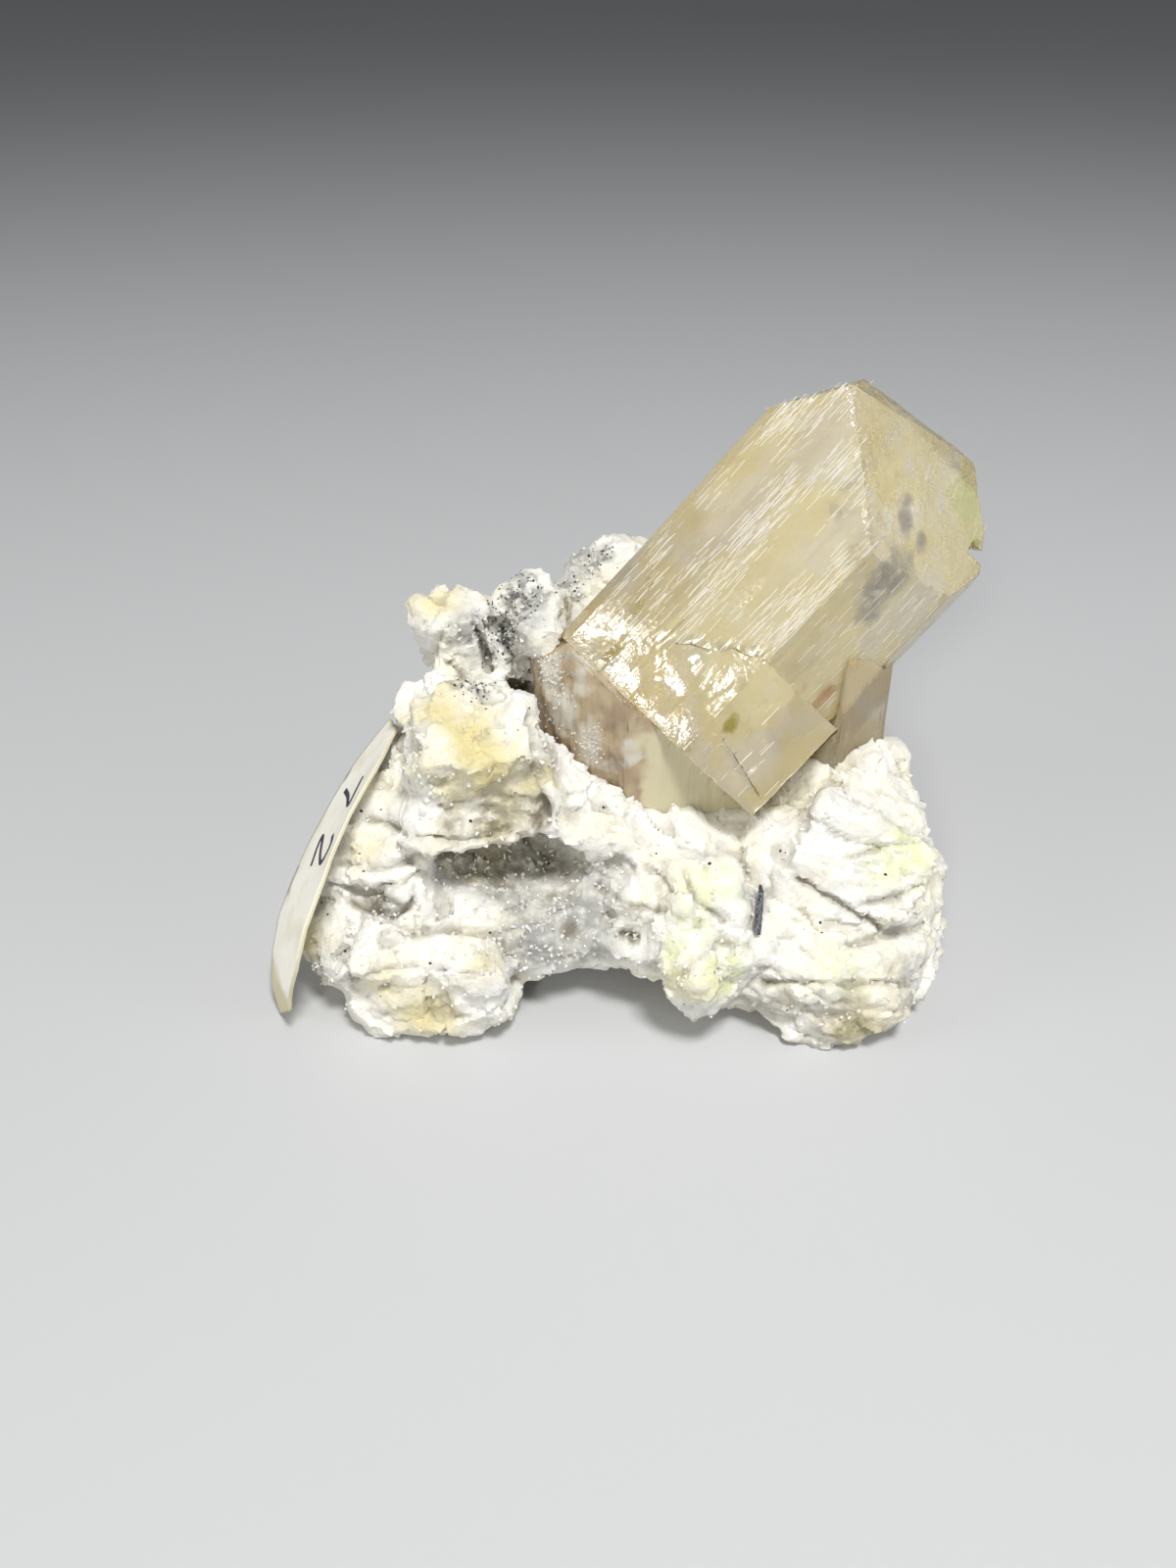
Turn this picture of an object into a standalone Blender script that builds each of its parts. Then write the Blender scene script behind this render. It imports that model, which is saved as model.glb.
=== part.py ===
"""Topaz crystals on a lump of white feldspar, with a paper collection label on its left side.

The lump rests on three feet. A large crystal leans to the right over two short upright ones.
Sizes below are in millimetres, seen from the front: +X to the right, +Y away, +Z up.
"""

import itertools
import math

import bmesh
import bpy
import numpy as np
from mathutils import Euler, Matrix, Vector, noise

MM = 0.001
CONTACT_GAP = 0.3  # between a crystal or the label and the rock it sits in

# Rock lumps: centre, half sizes, turn about Z in degrees, corner count
LUMPS = {
    "right_mass": ((14.2, 0.8, 7.8), (9.0, 11.0, 7.4), 12, 30),
    "right_top": ((18.0, -1.2, 11.5), (4.8, 6.0, 4.6), -20, 16),
    "right_terrace": ((13.4, -6.6, 10.4), (6.6, 4.6, 4.6), -14, 13),
    "right_foot": ((15.8, -7.8, 4.0), (9.2, 8.6, 5.8), 8, 20),
    "right_edge": ((20.4, -3.6, 6.8), (4.3, 6.4, 6.8), 0, 15),
    "right_back": ((14.5, 8.5, 7.6), (8.6, 8.0, 7.4), 30, 20),
    "front_block": ((5.6, -12.0, 6.8), (5.0, 4.7, 4.9), 35, 11),
    "front_block_low": ((4.2, -10.4, 5.2), (4.6, 4.6, 3.4), 10, 12),
    "saddle": ((3.0, -6.6, 8.5), (6.4, 4.8, 5.0), 0, 16),
    "saddle_left": ((-3.4, -5.4, 11.2), (4.6, 3.6, 5.6), 20, 14),
    "core": ((1.0, 3.5, 9.0), (16.0, 11.0, 7.0), 0, 30),
    "middle_front": ((-1.8, -8.0, 6.4), (6.6, 4.4, 4.0), -8, 15),
    "arch_lip": ((-6.2, -9.4, 6.2), (5.4, 4.4, 3.4), 0, 13),
    "white_block": ((-3.9, -5.6, 13.6), (2.6, 2.4, 2.7), 25, 9),
    "left_body": ((-12.6, 1.0, 9.0), (9.4, 10.6, 9.6), 0, 26),
    "left_block": ((-15.4, -11.9, 3.6), (6.8, 4.7, 4.2), -12, 11),
    "left_toe": ((-18.2, -11.6, 1.2), (4.0, 3.8, 3.3), 20, 12),
    "left_edge": ((-21.6, -7.6, 5.0), (4.6, 5.6, 4.6), 10, 13),
    "left_flank": ((-19.0, -2.0, 9.0), (8.4, 8.6, 8.2), 15, 18),
    "left_shelf": ((-17.0, -7.0, 10.6), (5.4, 4.6, 3.2), -25, 12),
    "left_slope": ((-16.0, 1.5, 12.5), (5.4, 6.4, 7.0), 0, 16),
    "brow": ((-11.9, -5.2, 19.0), (5.7, 4.5, 4.9), 18, 14),
    "brow_right": ((-7.6, -4.4, 15.8), (2.8, 3.2, 4.4), 0, 12),
    "ledge": ((-15.0, -0.8, 20.0), (3.9, 3.6, 3.5), 30, 13),
    "ledge_knob": ((-10.8, -0.6, 20.6), (2.6, 2.5, 2.9), 10, 12),
    "knob_gap": ((-11.0, 5.0, 19.0), (5.0, 4.0, 4.0), 0, 14),
    "knob_left": ((-13.7, 4.6, 24.4), (3.3, 3.2, 3.8), 0, 15),
    "knob_middle": ((-7.9, 4.4, 24.6), (3.5, 3.3, 4.1), 40, 15),
    "knob_back": ((-3.6, 12.4, 22.2), (3.9, 4.0, 4.2), 10, 14),
    "crest": ((-0.4, 14.2, 22.0), (5.4, 5.2, 6.0), -15, 18),
    "back_body": ((-3.4, 10.8, 10.0), (13.6, 9.0, 10.8), 0, 26),
    "back_foot": ((-3.0, 14.5, 3.8), (8.0, 5.4, 5.6), 25, 16),
}

# Angular blocks and plates: centre, half sizes, turns in degrees about Z, then Y, then X
BLOCKS = {
    "brow_cap": ((-11.9, -5.2, 20.4), (4.5, 3.7, 2.7), (14, 6, 16)),
    "brow_shelf": ((-12.4, -8.6, 15.5), (4.2, 1.7, 0.9), (6, 4, 8)),
    "brow_spur": ((-6.9, -6.0, 15.4), (1.4, 2.4, 4.2), (0, -18, 10)),
    "leaf_upper": ((-18.0, -7.4, 11.8), (4.2, 3.6, 0.9), (-18, -8, 14)),
    "leaf_lower": ((-18.2, -8.6, 8.7), (4.4, 3.6, 1.0), (-12, -6, 12)),
    "wedge": ((-14.6, -12.0, 5.7), (5.3, 3.0, 2.4), (-4, 3, 16)),
    "front_facet": ((5.7, -12.5, 7.0), (3.5, 2.8, 2.8), (36, 12, 26)),
    "front_step": ((4.9, -11.4, 10.4), (2.6, 2.4, 2.2), (14, 14, 12)),
    "white_cube": ((-4.4, -4.9, 16.3), (1.7, 1.2, 1.0), (-10, 8, 4)),
    "white_mass": ((-3.0, -6.6, 13.2), (2.8, 2.2, 2.0), (8, 4, 18)),
    "knob_link": ((-6.4, 1.6, 25.4), (1.9, 1.9, 1.6), (20, -10, 12)),
    "knob_left_top": ((-13.4, 4.2, 25.3), (2.7, 2.5, 1.9), (22, 8, 12)),
    "knob_middle_top": ((-7.8, 4.0, 26.3), (2.7, 2.5, 2.1), (38, -8, 10)),
    "right_face": ((13.9, -11.1, 8.9), (4.1, 3.2, 1.4), (-24, 0, 50)),
    "right_slab": ((16.8, -9.0, 12.6), (5.0, 3.0, 1.4), (-27, 6, 46)),
    "right_ledge": ((20.4, -6.8, 9.4), (2.8, 3.0, 0.9), (-20, 26, 32)),
    "right_shoulder": ((18.6, -1.6, 12.9), (4.0, 4.6, 2.0), (10, 14, 8)),
}
LUMP_JITTER = 0.22  # how far a lump's corners stray sideways, and how far outwards
LUMP_SPREAD = 0.16
BLOCK_JITTER = 0.17  # how uneven a block's corners are
LUMP_SEED = 101
BLOCK_SEED = 301

# Hollows cut from the rock: centre, half sizes, turn about Z in degrees
HOLLOWS = {
    "cave": ((-9.6, -10.6, 11.5), (6.8, 6.2, 2.9), 14),
    "cave_deep": ((-6.6, -8.0, 11.6), (3.4, 5.4, 3.1), 0),
    "leaf_gap": ((-19.0, -11.0, 10.3), (4.0, 3.4, 0.8), -12),
    "slope_dip": ((-2.6, -14.6, 11.0), (4.6, 3.6, 5.4), -10),
    "arch": ((-4.4, -9.6, -1.0), (7.4, 11.0, 3.8), 0),
    "arch_right": ((3.4, -13.0, -0.6), (4.4, 7.0, 2.6), 20),
    "cleft": ((-10.8, 2.6, 26.0), (0.7, 4.4, 3.0), -8),
    "right_dip": ((15.0, -1.8, 17.3), (3.6, 3.4, 2.8), 0),
}

ROCK_VOXEL = 0.55
ROCK_TRIANGLES = 6900
# Broken planes in the rock's skin: width and how far they stand in or out
FACETS = ((7.0, 0.9), (2.8, 0.26))
FACET_TILT = 1.3
FACET_REACH = 48.0  # half the width of the space that the planes fill
SWELL_SIZE = 6.0  # width of the gentle swellings, and how high they are
SWELL_HEIGHT = 0.25
LEDGE_NORMAL = (0.30, 0.16, 0.94)
LEDGE_RISE = 2.7  # height of one ledge on the right mass
LEDGE_DEPTH = 0.6
LEDGES_FROM = 6.0  # the ledges lie to the right of this

# The large crystal: a corner of its base, and the directions of its width, depth and length
MAIN_CORNER = (-5.68, -1.65, 27.55)
MAIN_ACROSS = (0.731, -0.298, -0.614)
MAIN_AXIS = (0.680, 0.320, 0.657)
# Its outline across the axis, as (width, depth) from the corner, and its length
MAIN_OUTLINE = (
    (0.45, 3.4),
    (1.0, 2.0),
    (12.6, 0.0),
    (20.2, 5.8),
    (21.7, 10.2),
    (20.0, 13.4),
    (7.4, 15.0),
    (1.3, 9.0),
)
MAIN_LENGTH = 32.0
# The broken foot of its right face stands proud up to a cleavage step
STEP_OUTLINE = ((12.0, 0.12), (12.6, -0.02), (19.7, -0.1), (21.7, 9.8), (12.0, 8.0))
STEP_HEIGHT = 8.8
# A chip in its right edge: outline, lowest and highest point, and turn in degrees
CHIP_OUTLINE = ((21.0, 7.0), (24.0, 7.0), (24.0, 13.0), (21.0, 13.0))
CHIP_SPAN = (24.7, 25.7)
CHIP_TURN = -4.0
# Cracks that open on its front face: ends of the mouth as (width, length), and depth
CRACKS = {
    "slanting_crack": ((6.9, 5.6), (12.1, 9.1), 5.0),
    "foot_crack": ((14.2, 2.7), (19.2, 1.4), 6.0),
}
CRACK_MOUTH = 0.3

# The two short crystals: origin, lean to the back, outline, lowest and highest point, broken corner
LEFT_CRYSTAL = {
    "origin": (-0.4, -4.8, 12.0),
    "lean": 0.04,
    "outline": ((0.0, 0.0), (10.4, 2.4), (11.0, 6.0), (5.0, 11.0), (-5.2, 9.5), (-7.0, 5.6), (-6.3, 3.8)),
    "span": (-2.0, 14.5),
    "broken": ((-7.2, 3.0, 11.8), (-7.2, 9.0, 11.8), (-3.6, 3.0, 14.6), (-9.0, 5.0, 20.0)),
    "colour": (0.62, 0.44, 0.30),
}
RIGHT_CRYSTAL = {
    "origin": (16.2, 1.4, 9.0),
    "lean": 0.05,
    "outline": ((0.0, -1.8), (3.9, 0.4), (4.9, 4.2), (3.0, 8.0), (-1.2, 8.6), (-4.4, 5.4), (-3.8, 0.6)),
    "span": (-1.0, 15.0),
    "broken": None,
    "colour": (0.72, 0.50, 0.40),
}

# Dark blade: where its lower end sits, its directions, its outline, its length and its two broken ends
BLADE_FOOT = (8.75, -14.6, 9.0)
BLADE_ACROSS = (1.0, 0.0, -0.13)
BLADE_AXIS = (0.13, 0.80, 0.60)
BLADE_OUTLINE = ((-0.34, 0.0), (0.0, -0.3), (0.34, 0.0), (0.0, 0.5))
BLADE_LENGTH = 5.6
BLADE_ENDS = (((0.0, 0.0, BLADE_LENGTH), (0.9, -0.6, 0.5)), ((0.0, 0.0, 0.0), (-0.7, -0.7, -0.4)))

# Label: its rear edge from the top of the left flank down to the tip of the hanging flap
LABEL_EDGE = (
    (-18.72, 2.0, 17.84),
    (-20.26, 1.0, 16.38),
    (-21.49, 0.0, 15.01),
    (-23.28, -2.0, 12.65),
    (-24.90, -4.0, 10.31),
    (-26.21, -6.0, 8.00),
    (-27.11, -7.8, 6.05),
    (-27.54, -9.4, 3.93),
    (-27.55, -11.0, 2.00),
    (-26.85, -12.4, 0.30),
)
LABEL_VIEW = (0.19, -0.77, 0.60)  # the direction from which it is seen nearly edge on
LABEL_FACING = 0.28  # how far its face turns towards that direction
LABEL_WIDTH = 8.6
LABEL_ROWS = 26
LABEL_COLUMNS = 7
LABEL_ROUNDING = (3.2, 2.4)  # how blunt its two rounded ends are
LABEL_CURL = 0.5  # lift of its front edge
LABEL_CURL_SHARE = 0.6  # the upper share of its length that curls
PAPER = 0.25  # thickness of the paper
LABEL_GAP = 0.35  # between paper and rock
# What is trimmed from the rock around the label: how far to the front, outwards and to the rear
SEAT_FRONT = 22.0
SEAT_OUTWARDS = (-34.0, 0.0, 22.0)
SEAT_REARWARDS = (7.0, 18.6, -2.0)
SEAT_ROWS = 9
SEAT_ABOVE = 0.25  # how far it runs on past the label's top, in rows
SEAT_BELOW = (2.0, -6.0, -9.0)  # and past its lower tip


def metres(point):
    """A millimetre triple as a vector in metres."""
    return Vector(point) * MM


def new_object(name, mesh):
    """Links an object that holds this mesh and returns it."""
    obj = bpy.data.objects.new(name, mesh)
    bpy.context.scene.collection.objects.link(obj)
    return obj


def mesh_from_bmesh(name, bm):
    """Writes a bmesh to a new mesh datablock with its faces pointing outwards."""
    bmesh.ops.recalc_face_normals(bm, faces=bm.faces)
    mesh = bpy.data.meshes.new(name)
    bm.to_mesh(mesh)
    bm.free()
    return mesh


def evaluated_mesh(obj, name):
    """A plain copy of the object's mesh with its modifiers applied."""
    bpy.context.view_layer.update()
    graph = bpy.context.evaluated_depsgraph_get()
    mesh = bpy.data.meshes.new_from_object(obj.evaluated_get(graph))
    mesh.name = name
    return mesh


def material(name, colour, roughness, transmission=0.0):
    """A plain Principled material."""
    made = bpy.data.materials.new(name)
    made.use_nodes = True
    shader = made.node_tree.nodes["Principled BSDF"]
    shader.inputs["Base Color"].default_value = (*colour, 1.0)
    shader.inputs["Roughness"].default_value = roughness
    shader.inputs["Metallic"].default_value = 0.0
    shader.inputs["Transmission Weight"].default_value = transmission
    return made


def sphere_directions(count, rng, jitter):
    """Unit vectors spread evenly over a sphere, each moved a little."""
    golden = math.pi * (3 - math.sqrt(5))
    for i in range(count):
        height = 1 - 2 * (i + 0.5) / count
        radius = math.sqrt(1 - height * height)
        point = Vector((radius * math.cos(golden * i), radius * math.sin(golden * i), height))
        yield (point + jitter * Vector(rng.uniform(-1, 1, 3))).normalized()


def boulder(bm, centre, half_sizes, turn_deg, corners, seed):
    """Adds one angular chunk: the convex hull of a few points on an ellipsoid."""
    rng = np.random.default_rng(seed)
    place = Matrix.Translation(metres(centre)) @ Matrix.Rotation(math.radians(turn_deg), 4, "Z")
    verts = []
    for direction in sphere_directions(corners, rng, LUMP_JITTER):
        reach = 1.0 + LUMP_SPREAD * rng.uniform(0, 1)
        point = Vector(half * reach * part for half, part in zip(half_sizes, direction))
        verts.append(bm.verts.new(place @ (point * MM)))
    close_hull(bm, verts)


def close_hull(bm, verts):
    """Spans the convex hull of these points and drops the points inside it."""
    hull = bmesh.ops.convex_hull(bm, input=verts)
    inside = [item for item in hull["geom_interior"] if isinstance(item, bmesh.types.BMVert)]
    bmesh.ops.delete(bm, geom=inside, context="VERTS")


def block(bm, centre, half_sizes, turns_deg, seed):
    """Adds one uneven block or plate."""
    rng = np.random.default_rng(seed)
    turn = Euler((math.radians(part) for part in reversed(turns_deg)), "ZYX").to_matrix().to_4x4()
    place = Matrix.Translation(metres(centre)) @ turn
    verts = []
    for signs in itertools.product((-1, 1), repeat=3):
        uneven = 1.0 + rng.uniform(-BLOCK_JITTER, BLOCK_JITTER, 3)
        point = Vector(half * sign * part for half, sign, part in zip(half_sizes, signs, uneven))
        verts.append(bm.verts.new(place @ (point * MM)))
    close_hull(bm, verts)


def hollow(name, centre, half_sizes, turn_deg):
    """A rounded cutter for one hollow of the rock."""
    bm = bmesh.new()
    bmesh.ops.create_icosphere(bm, subdivisions=2, radius=1.0)
    place = (
        Matrix.Translation(metres(centre))
        @ Matrix.Rotation(math.radians(turn_deg), 4, "Z")
        @ Matrix.Diagonal((*(half * MM for half in half_sizes), 1))
    )
    bm.transform(place)
    return helper(new_object(name, mesh_from_bmesh(name, bm)))


def helper(obj):
    """Marks a cutter, which isn't part of the object."""
    obj.hide_render = True
    obj.display_type = "WIRE"
    return obj


def cut(obj, cutter, name):
    """Subtracts the cutter from the object."""
    boolean = obj.modifiers.new(name, "BOOLEAN")
    boolean.operation = "DIFFERENCE"
    boolean.object = cutter


def voxel(obj, size_mm):
    """Fuses overlapping chunks into one closed skin."""
    remesh = obj.modifiers.new("Fuse", "REMESH")
    remesh.mode = "VOXEL"
    remesh.voxel_size = size_mm * MM
    remesh.adaptivity = 0.0


def broken_planes(points, width, seed):
    """Height, from about -1 to 1, of a skin broken into tilted planes of this width."""
    side = int(2 * FACET_REACH / width) + 4
    cells = np.random.default_rng(seed).random((side, side, side, 7))
    scaled = (points + FACET_REACH) / width + 1.0
    base = np.floor(scaled).astype(int)
    nearest = np.full(len(points), np.inf)
    height = np.zeros(len(points))
    for step in itertools.product((-1, 0, 1), repeat=3):
        cell = base + step
        share = cells[tuple(cell.T)]
        away = scaled - cell - share[:, :3]
        distance = (away * away).sum(axis=1)
        tilt = FACET_TILT * ((share[:, 3:6] - 0.5) * away).sum(axis=1)
        closer = distance < nearest
        height = np.where(closer, share[:, 6] - 0.5 + tilt, height)
        nearest = np.where(closer, distance, nearest)
    return height


def roughen(mesh):
    """Breaks the smooth skin into tilted planes, and the right mass into ledges."""
    flat = np.empty(len(mesh.vertices) * 3, np.float32)
    mesh.vertices.foreach_get("co", flat)
    points = flat.reshape(-1, 3) / MM
    normals = np.array([vertex.normal for vertex in mesh.vertices])
    amount = np.array([SWELL_HEIGHT * noise.noise(Vector(point) / SWELL_SIZE) for point in points])
    for seed, (width, depth) in enumerate(FACETS):
        amount += depth * broken_planes(points, width, seed)
    ledge = (points @ np.array(LEDGE_NORMAL) / LEDGE_RISE) % 1.0 - 0.5
    amount += np.where(points[:, 0] > LEDGES_FROM, LEDGE_DEPTH * ledge, 0.0)
    moved = points + normals * amount[:, None]
    mesh.vertices.foreach_set("co", (moved * MM).astype(np.float32).ravel())
    mesh.update()


def block_cutter(name, low, high):
    """A box cutter between two corners, in millimetres."""
    bm = bmesh.new()
    bmesh.ops.create_cube(bm, size=1.0)
    low, high = metres(low), metres(high)
    bm.transform(Matrix.Translation((low + high) / 2) @ Matrix.Diagonal((*(high - low), 1)))
    return helper(new_object(name, mesh_from_bmesh(name, bm)))


def frame_matrix(origin, across, axis):
    """The crystal's own frame: X across, Y away into its depth, Z along its length."""
    along = Vector(axis).normalized()
    depth = along.cross(Vector(across)).normalized()
    side = depth.cross(along)
    turn = Matrix((side, depth, along)).transposed().to_4x4()
    return Matrix.Translation(metres(origin)) @ turn


def prism_planes(outline, low, high):
    """Half spaces of an upright prism: a point and an outward normal for each face."""
    planes = []
    count = len(outline)
    for i in range(count):
        (x0, y0), (x1, y1) = outline[i], outline[(i + 1) % count]
        planes.append(((x0, y0, 0), (y1 - y0, x0 - x1, 0)))
    planes.append(((0, 0, low), (0, 0, -1)))
    planes.append(((0, 0, high), (0, 0, 1)))
    return planes


def plane_through(a, b, c, outside):
    """The half space bounded by three points, whose outward side holds the fourth."""
    a, b, c = Vector(a), Vector(b), Vector(c)
    normal = (b - a).cross(c - a).normalized()
    if normal.dot(Vector(outside) - a) < 0:
        normal.negate()
    return tuple(a), tuple(normal)


def cut_crystal(name, frame, planes, grow=0.0):
    """Cleaves a block along each plane, moved out by grow, and sets it in its frame."""
    bm = bmesh.new()
    bmesh.ops.create_cube(bm, size=200 * MM)
    for point, normal in planes:
        normal = Vector(normal).normalized()
        bmesh.ops.bisect_plane(
            bm,
            geom=bm.verts[:] + bm.edges[:] + bm.faces[:],
            plane_co=metres(point) + normal * grow * MM,
            plane_no=normal,
            clear_outer=True,
            dist=1e-7,
        )
        rim = [edge for edge in bm.edges if edge.is_boundary]
        if rim:
            bmesh.ops.contextual_create(bm, geom=rim)
    bmesh.ops.remove_doubles(bm, verts=bm.verts, dist=2e-6)
    bm.transform(frame)
    return mesh_from_bmesh(name, bm)


def main_crystal_planes():
    """Prism faces, base cleavage and the uneven roof of the large crystal."""
    planes = prism_planes(MAIN_OUTLINE, 0.0, MAIN_LENGTH)
    planes += [
        # frosted roof face that falls to the front right
        plane_through((3.55, 1.3, 26.7), (12.6, 0.0, 19.5), (14.5, 10.0, 31.0), (20, -5, 40)),
        # crest
        plane_through((3.55, 1.3, 27.0), (9.6, 10.0, 30.7), (4.9, 8.0, 29.4), (10, 8, 45)),
        # left shoulder
        plane_through((0.9, 2.0, 22.7), (3.55, 1.3, 26.8), (1.1, 9.0, 24.6), (-5, 5, 40)),
        # right shoulder in two steps
        plane_through((15.6, 9.5, 31.2), (19.8, 10.0, 28.2), (17.0, 13.4, 31.0), (25, 8, 45)),
        plane_through((19.7, 10.0, 28.4), (21.8, 10.0, 24.6), (19.4, 13.4, 28.0), (30, 10, 30)),
        # break along the back of the top
        plane_through((6.0, 13.0, 30.4), (14.0, 12.6, 31.0), (10.0, 15.4, 27.4), (10, 20, 40)),
    ]
    return planes


def crack_planes(start, end, depth):
    """Half spaces of a crack: widest at its mouth on the front face, closing towards its inner end."""
    first, last = Vector((start[0], 0.0, start[1])), Vector((end[0], 0.0, end[1]))
    along = (last - first).normalized()
    upwards = Vector((-along.z, 0.0, along.x))
    closing = Vector((0.0, CRACK_MOUTH / 2 / depth, 0.0))
    return [
        (first + upwards * CRACK_MOUTH / 2, upwards + closing),
        (first - upwards * CRACK_MOUTH / 2, closing - upwards),
        (first, -along),
        (last, along),
        ((0.0, -1.0, 0.0), (0.0, -1.0, 0.0)),
    ]


def join(obj, other, name):
    """Fuses another solid into the object."""
    boolean = obj.modifiers.new(name, "BOOLEAN")
    boolean.operation = "UNION"
    boolean.object = other


def build_main_crystal():
    """The large leaning crystal, with its broken foot and the chip in its right edge."""
    frame = frame_matrix(MAIN_CORNER, MAIN_ACROSS, MAIN_AXIS)
    planes = main_crystal_planes()
    crystal = new_object("topaz_main", cut_crystal("topaz_main", frame, planes))
    step = prism_planes(STEP_OUTLINE, 0.0, STEP_HEIGHT)
    join(crystal, helper(new_object("foot_step", cut_crystal("foot_step", frame, step))), "Foot step")
    chip_turn = Matrix.Rotation(math.radians(CHIP_TURN), 4, "Y")
    chip_mesh = cut_crystal("edge_chip", frame @ chip_turn, prism_planes(CHIP_OUTLINE, *CHIP_SPAN))
    cut(crystal, helper(new_object("edge_chip", chip_mesh)), "Edge chip")
    for name, (start, end, depth) in CRACKS.items():
        crack = new_object(name, cut_crystal(name, frame, crack_planes(start, end, depth)))
        cut(crystal, helper(crack), name)
    crystal.data.materials.append(material("topaz_honey", (0.80, 0.62, 0.40), 0.12, 0.8))
    sockets = [
        helper(new_object("main_socket", cut_crystal("main_socket", frame, planes, CONTACT_GAP))),
        helper(new_object("step_socket", cut_crystal("step_socket", frame, step, CONTACT_GAP))),
    ]
    return sockets


def build_upright_crystal(name, origin, lean, outline, span, broken, colour, above):
    """A short upright crystal, cut off where the crystal above it leans over it."""
    frame = frame_matrix(origin, (1, 0, 0), (0, lean, 1.0))
    planes = prism_planes(outline, *span)
    if broken:
        planes.append(plane_through(*broken))
    crystal = new_object(name, cut_crystal(name, frame, planes))
    for socket in above:
        cut(crystal, socket, socket.name)
    crystal.data.materials.append(material(name, colour, 0.16, 0.7))
    grown = cut_crystal(name + "_socket", frame, planes, CONTACT_GAP)
    return helper(new_object(name + "_socket", grown))


def build_blade():
    """The thin dark blade that lies in a groove at the left edge of the right mass."""
    frame = frame_matrix(BLADE_FOOT, BLADE_ACROSS, BLADE_AXIS)
    planes = [*prism_planes(BLADE_OUTLINE, 0.0, BLADE_LENGTH), *BLADE_ENDS]
    blade = new_object("dark_blade", cut_crystal("dark_blade", frame, planes))
    blade.data.materials.append(material("dark_mineral", (0.10, 0.10, 0.12), 0.35))
    return helper(new_object("blade_groove", cut_crystal("blade_groove", frame, planes, CONTACT_GAP)))


def half_space(name, point, normal):
    """A large block that begins at a point and lies on the outward side of its plane."""
    bm = bmesh.new()
    bmesh.ops.create_cube(bm, size=120 * MM)
    outward = Vector(normal).normalized()
    turn = outward.to_track_quat("Z", "Y").to_matrix().to_4x4()
    bm.transform(Matrix.Translation(metres(point) + outward * 60 * MM) @ turn)
    return helper(new_object(name, mesh_from_bmesh(name, bm)))


def label_frames(count):
    """Evenly spaced points along the label's rear edge, each with its across and outward directions."""
    edge = [Vector(point) for point in LABEL_EDGE]
    reach = [0.0]
    for start, end in zip(edge, edge[1:]):
        reach.append(reach[-1] + (end - start).length)
    view = Vector(LABEL_VIEW)
    frames = []
    for i in range(count):
        along = reach[-1] * i / (count - 1)
        k = min(max(j for j in range(len(edge)) if reach[j] <= along + 1e-6), len(edge) - 2)
        share = (along - reach[k]) / (reach[k + 1] - reach[k])
        spot = edge[k].lerp(edge[k + 1], share)
        before, after = edge[max(k - 1, 0)], edge[min(k + 2, len(edge) - 1)]
        first, second = (edge[k + 1] - before).normalized(), (after - edge[k]).normalized()
        heading = first.lerp(second, share).normalized()
        flat = heading.cross(view).normalized()
        flat = flat if flat.x < 0 else -flat
        level = (view - heading * view.dot(heading)).normalized()
        normal = (flat + LABEL_FACING * level).normalized()
        across = normal.cross(heading).normalized()
        across = across if across.y < 0 else -across
        frames.append((spot, across, normal, i / (count - 1)))
    return frames


def label_line(spot, across, normal, share):
    """One row of the label's points, from its rear edge to its front edge."""
    from_middle = abs(2.0 * min(max(share, 0.02), 0.98) - 1.0)
    blunt, round_end = LABEL_ROUNDING
    width = LABEL_WIDTH * (1.0 - from_middle**blunt) ** (1.0 / round_end)
    curl = LABEL_CURL * math.sin(math.pi * min(share / LABEL_CURL_SHARE, 1.0)) ** 2
    for j in range(LABEL_COLUMNS + 1):
        part = j / LABEL_COLUMNS
        yield spot + across * (width * part) + normal * (curl * part**4)


def build_label():
    """The paper label: a rounded strip on the left flank, folded down over its lower edge."""
    bm = bmesh.new()
    layers = []
    for side in (0.0, PAPER):
        grid = []
        for spot, across, normal, share in label_frames(LABEL_ROWS + 1):
            line = label_line(spot + normal * side, across, normal, share)
            grid.append([bm.verts.new(point * MM) for point in line])
        layers.append(grid)
    skin_label(bm, layers)
    label = new_object("paper_label", mesh_from_bmesh("paper_label", bm))
    label.data.materials.append(material("paper", (0.90, 0.87, 0.76), 0.8))
    return label


def skin_label(bm, layers):
    """Closes two sheets of points into one thin solid."""
    inner, outer = layers
    for i in range(LABEL_ROWS):
        for j in range(LABEL_COLUMNS):
            for sheet in layers:
                bm.faces.new((sheet[i][j], sheet[i + 1][j], sheet[i + 1][j + 1], sheet[i][j + 1]))
        for j in (0, LABEL_COLUMNS):
            bm.faces.new((inner[i][j], inner[i + 1][j], outer[i + 1][j], outer[i][j]))
    for j in range(LABEL_COLUMNS):
        for i in (0, LABEL_ROWS):
            bm.faces.new((inner[i][j], inner[i][j + 1], outer[i][j + 1], outer[i][j]))


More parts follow.
